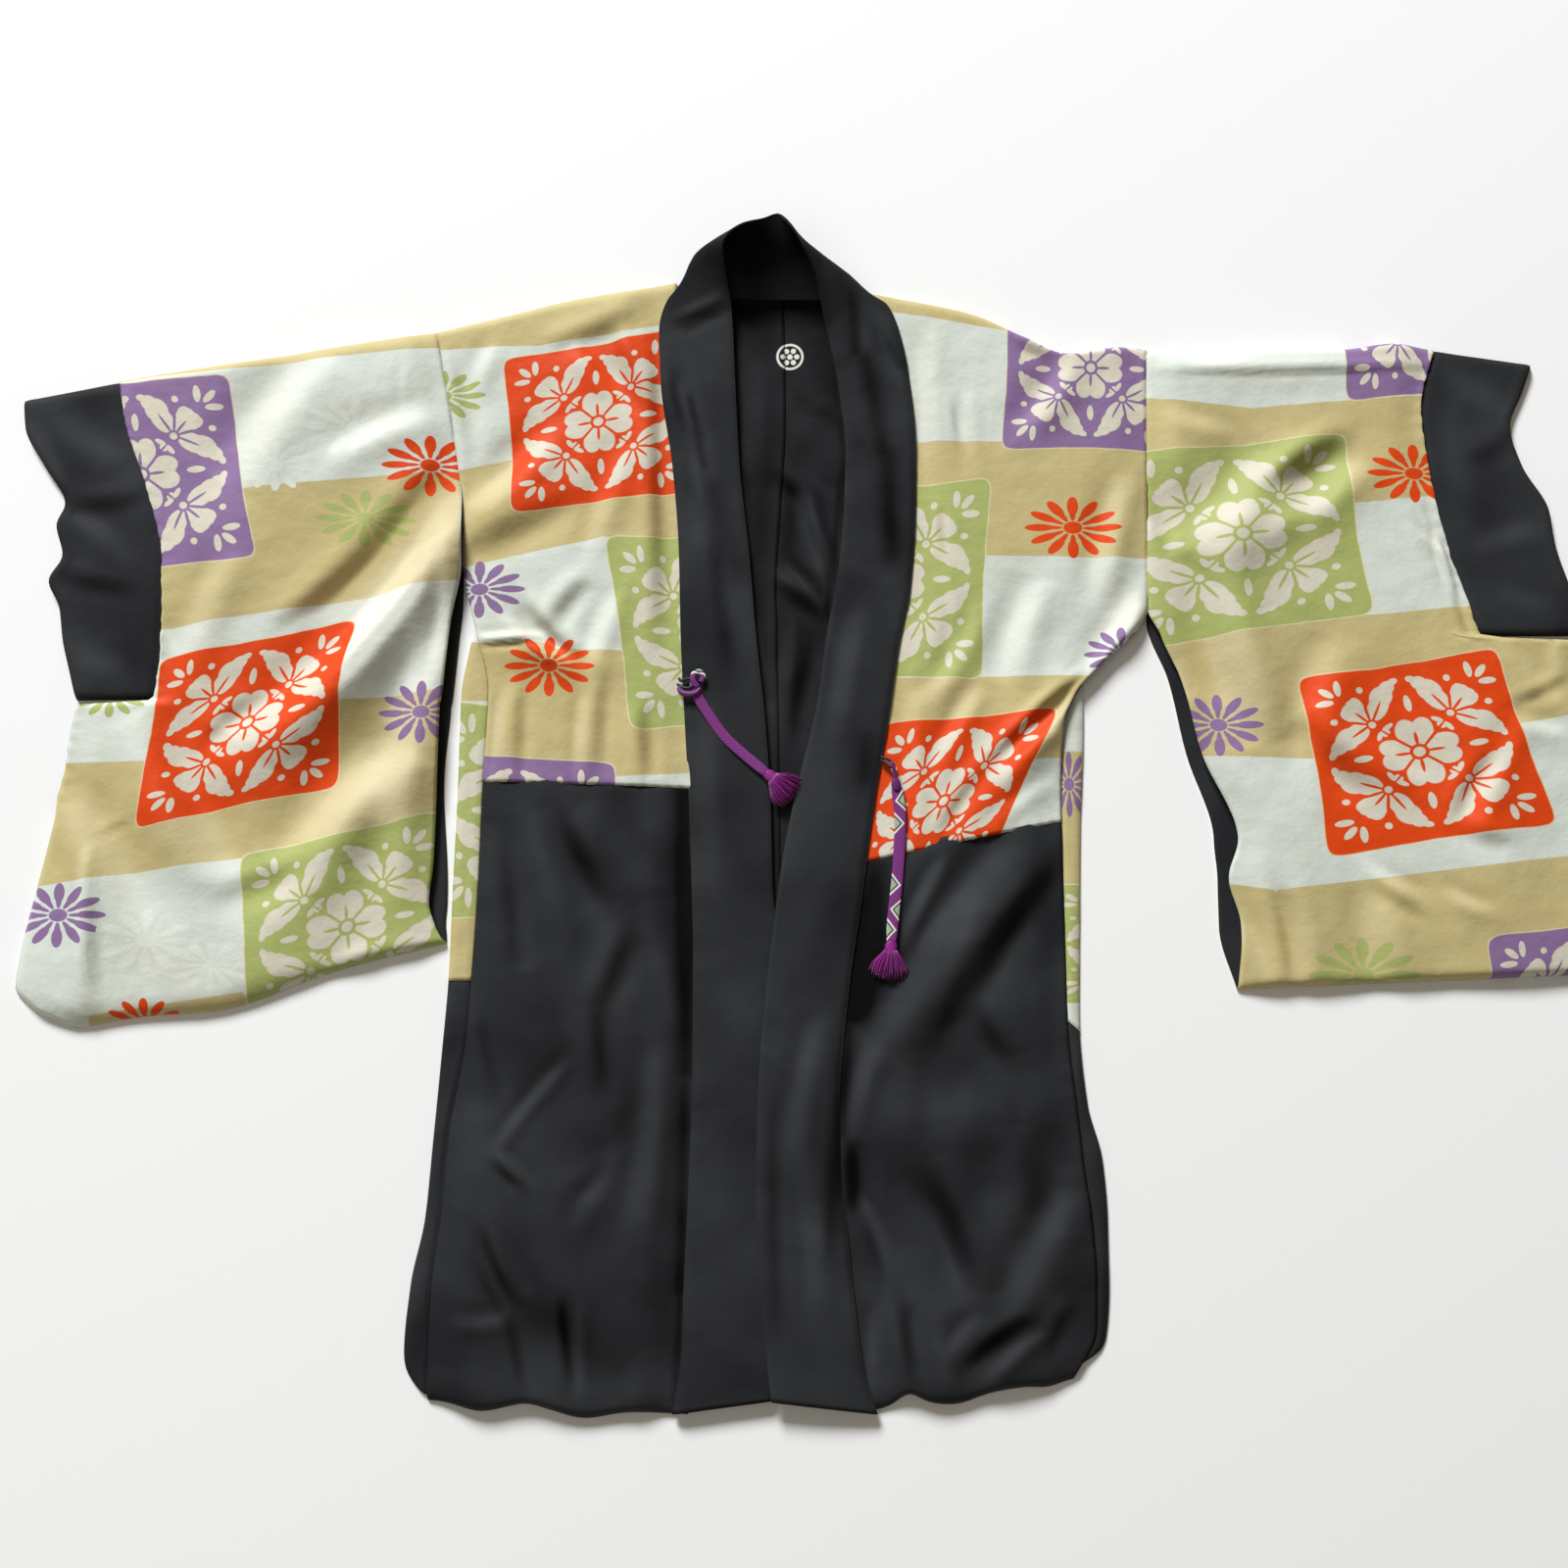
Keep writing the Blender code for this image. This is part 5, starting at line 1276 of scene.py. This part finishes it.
def cuffCloth(side):
    cuff = cuffs[side]
    rows = beside(sleeves[side]["rows"], cuff["rows"])
    length = stationsOf(rows)[-1]
    lines = stationLines(0.0, length, True, True)
    shares = np.linspace(cuffBuild["under"], 1.0, cuffBuild["columns"])
    across, down, width, share, station = placesOver(rows, lines, shares)
    if side == "right":
        down = down + edgeWaves(sleeves[side]["top"], 1.0 + 0 * share, station) \
            * np.clip(1 - share, 0, 1)
    outer, inner = (1 - share) * width, share * width
    group = "cuff" + side.title()
    height = build["sleeveTop"] - cuffBuild["lower"] + formHeight(across, down) \
        + relief(cuffBuild, group, across, down) * smoothStep(inner / 10 + 0.3)
    height = keptAbove(height, build["lowest"])
    height = height * rounded(station) * rounded(length - station, foot=0.25)
    height = height - seamDip(inner, *cuffBuild["innerSeam"]) * np.clip(height / 6, 0, 1) \
        - seamDip(outer, *cuffBuild["hand"])
    # the turned edge at the hand swells a little
    height = height + 0.7 * np.exp(-((outer - 5) / 4) ** 2) * np.clip(height / 4, 0, 1)
    folded = [np.concatenate([front[::-1], back]) for front, back in
              ((across, across), (down, down), (height, np.zeros_like(height)))]
    clothPiece(group, "cuff_" + side, "black_silk", *folded, [blackSilk], cuff["flat"],
               wall=cuffBuild["wall"], held="folded", group=group)


for side in ("left", "right"):
    sleeveCloth(side)
    cuffCloth(side)
print("sleeves made")

# the back, flat on the surface
# rows: inner across, down, outer across, down
backs = {
    "left": {
        "rows": [
            (-2, -12, -283, 48), (0, 110, -274, 115), (-4, 190, -264, 188), (-8, 260, -263, 240),
            (-7, 290, -257, 282), (-7, 310, -247, 303), (-6, 360, -254, 350),
            (-4, 560, -256, 560), (-4, 740, -268, 740), (-4, 860, -285, 860),
            (-4, 902, -272, 896)],
        "flat": (0.285, 0.92, 0.231)},
    "right": {
        "rows": [
            (-2, -12, 296, 88), (0, 110, 297, 135), (-4, 190, 298, 202), (-8, 260, 294, 280),
            (-7, 310, 256, 316), (-6, 360, 228, 356), (-4, 560, 228, 560), (-4, 740, 240, 740),
            (-4, 860, 242, 850), (-4, 902, 222, 880)],
        "flat": (0.3, 0.92, 0.221)}}
# its lap over the other half, and how that raises it, on the left and on the right
backBuild = {"step": 5.0, "wall": 1.2, "rest": 1.9, "lowest": 1.4, "bumps": ((2.8, 26.0, 0.8),),
             "neck": (2.6, 16.0), "left": (1.2, 0.5), "right": (-0.4, -0.6)}


def backCloth(side):
    back, (overlap, raised) = backs[side], backBuild[side]
    lines = stationLines(0.0, stationsOf(back["rows"])[-1], step=backBuild["step"])
    shares = np.concatenate([np.linspace(0.0, 0.4, 36), np.linspace(0.45, 1.0, 12)])
    across, down = placesOver(back["rows"], lines, shares)[:2]
    lap = np.exp(-((across - across[:, 0:1]) / 6) ** 2)
    across = across + overlap * lap
    seen = np.exp(-(np.clip(np.abs(across - 5) - 45, 0, None) / 14) ** 2)
    height = backBuild["rest"] + seen * (1.3 + relief(backBuild, "back", across, down))
    height = keptAbove(height, backBuild["lowest"], 0.4) + raised * lap
    height = height + seen * seamDip(down - 10, *backBuild["neck"])  # the collar is sewn on here
    clothPiece("back" + side.title(), "back_" + side, "black_silk", across, down, height,
               [blackSilkBadged, liningSilk], back["flat"], wall=backBuild["wall"], group="back")


for side in ("left", "right"):
    backCloth(side)
print("back made")

# the collar band
# rows: sewn edge across, down, height, free edge across, down, height, middle's bulge across, down
collar = {
    "rows": [
        (-87, 919, 9, -10, 909, 9, 0, 0), (-80, 872, 9, -8, 865, 9, 0, 0),
        (-79, 829, 9, -7, 820, 9, 0, 0), (-75, 730, 9, -3, 726, 9, 0, 0),
        (-73, 651, 9, -1, 651, 9, 0, 0), (-73, 570, 9, -2, 570, 9, 0, 0),
        (-75, 496, 9, -9, 508, 9, 0, 0), (-78, 426, 9, -11, 435, 9, 0, 0),
        (-81, 375, 9, -15, 375, 9, 0, 0), (-85, 300, 9, -23, 300, 9, 0, 0),
        (-87, 229, 9, -29, 229, 9, 0, 0), (-93, 156, 9, -37, 156, 9, 0, 0),
        (-103, 87, 9, -41, 80, 10, 0, 0), (-105, 39, 9.5, -44, 22, 16, 0, -2),
        (-94, 9, 11.5, -49, -4, 32, -3, -6), (-80, 5, 9, -51, -17, 46, -9, -13),
        (-62, 8, 6.5, -46, -27, 53, -8, -12), (-40, 10, 6, -34, -38, 48, -2, -6),
        (-14, 12, 6, -16, -46, 40, 0, 0), (6, 12, 6, -5, -50, 39, 0, 0),
        (22, 12, 6, 6, -38, 46, 3, -4), (42, 11, 6, 17, -14, 53, 6, -12),
        (64, 10, 7, 28, 8, 40, 6, -14), (84, 14, 9.5, 36, 43, 20, 4, -8),
        (104, 75, 9, 45, 87, 10, 0, 0), (110, 142, 9, 51, 142, 9, 0, 0),
        (109, 200, 9, 50, 186, 9, 0, 0), (105, 257, 9, 45, 243, 9, 0, 0),
        (94, 314, 9, 35, 300, 9, 0, 0), (85, 374, 9, 27, 357, 9, 0, 0),
        (73, 443, 9, 10, 429, 10, 0, 0), (67, 487, 9, -1, 484, 12.5, 0, 0),
        (62, 525, 9, -6, 520, 13.5, 0, 0), (53, 584, 9, -15, 597, 13.5, 0, 0),
        (44, 690, 9, -20, 659, 13.5, 0, 0), (47, 743, 9, -22, 730, 13.5, 0, 0),
        (57, 847, 9, -20, 808, 13.5, 0, 0), (63, 886, 9, -14, 872, 13.5, 0, 0),
        (73, 919, 9, -10, 909, 13.5, 0, 0)],
    "wall": 2.3, "cells": 22, "step": 4.5, "edge": 0.055, "width": 68,
    "flat": (0.072, 2.02, None), "crown": 0.9, "bumps": ((7.7, 52, 1.1),),
    "ripple": (1.3, 11, 0.5, 10), "foldedEdge": (0.7, 3), "sewnEdge": (1.9, 5)}


def collarCloth():
    rows, edge = collar["rows"], collar["edge"]
    stations = stationsOf(rows)
    lines = []
    for a, b in zip(stations, stations[1:]):
        lines += list(np.linspace(a, b, max(2, ceil((b - a) / collar["step"]) + 1))[:-1])
    lines = np.array(lines + [stations[-1]])
    turn = edge * (1 - np.cos(np.linspace(0.0, pi / 2, 5)[:-1]))
    share = np.concatenate([turn, np.linspace(edge, 1 - edge, collar["cells"]),
                            1 - turn[::-1]])[None, :]
    sa, sd, sh, fa, fd, fh, ba, bd = rowsAt(rows, lines).T[:, :, None]
    bulge = 4 * share * (1 - share)
    across = sa + (fa - sa) * share + ba * bulge
    down = sd + (fd - sd) * share + bd * bulge
    height = sh + (fh - sh) * share
    flatness = smoothStep(1 - (fh - 16) / 14)  # 0 where the band stands up round the neck
    width = np.hypot(fa - sa, fd - sd) + np.abs(fh - sh)
    fromSewn, fromFree = share * width, (1 - share) * width
    station = np.broadcast_to(lines[:, None], across.shape)
    height = height + flatness * (
        relief(collar, "collar", across, down) + collar["crown"] * np.sin(pi * share)
        + seamRipple(collar, station, fromSewn) - seamDip(fromFree, *collar["foldedEdge"])
        - seamDip(fromSewn, *collar["sewnEdge"]))
    onCloth = np.stack([share * collar["width"] + 0 * station, station], -1)
    clothPiece("collarBand", "collar", "black_silk", across, down, height, [blackSilk],
               collar["flat"], onCloth=onCloth, wall=collar["wall"], even=False, held="folded",
               restsOn=["front_lining_left", "front_lining_right"], group="collar")


collarCloth()
print("collar made")

# floor and light
stage = {"floor": "#f6f8fb", "floorRough": 0.9, "sky": "#f6ead2", "fill": 0.18}
floorMesh = bmesh.new()
bmesh.ops.create_grid(floorMesh, x_segments=1, y_segments=1, size=4.0)
bmesh.ops.translate(floorMesh, verts=floorMesh.verts[:], vec=(0.0, 0.0, -0.0002))
floor = bpy.data.objects.new("floor", meshFrom(floorMesh, "floor"))
bpy.context.scene.collection.objects.link(floor)
floorPaint, tree, shader = newMaterial("mattePaper")  # plain white paper, no texture
setInputs(tree, shader, {"Base Color": linear(stage["floor"]), "Roughness": stage["floorRough"]})
floor.data.materials.append(floorPaint)

lamps = {  # place in metres, size, power, colour; both are aimed at the middle
    "keyLight": ((-3.2, 7.9, 5.4), 3.4, 1420.0, (0.985, 1.0, 1.0)),
    "fillLight": ((-1.6, -1.0, 3.4), 3.0, 14.0, (1.0, 0.93, 0.82)),
}
for name, (spot, size, power, tint) in lamps.items():
    lampData = bpy.data.lights.new(name, "AREA")
    lampData.shape = "DISK"
    lampData.size = size
    lampData.energy = power
    lampData.color = tint
    lamp = bpy.data.objects.new(name, lampData)
    lamp.location = spot
    lamp.rotation_euler = (-Vector(spot)).to_track_quat("-Z", "Y").to_euler()
    bpy.context.scene.collection.objects.link(lamp)
world = bpy.data.worlds.new("studio")
world.use_nodes = True
setInputs(world.node_tree, world.node_tree.nodes["Background"],
          {"Color": linear(stage["sky"]), "Strength": stage["fill"]})
bpy.context.scene.world = world
bpy.context.scene.view_settings.view_transform = "Standard"
print("stage set")
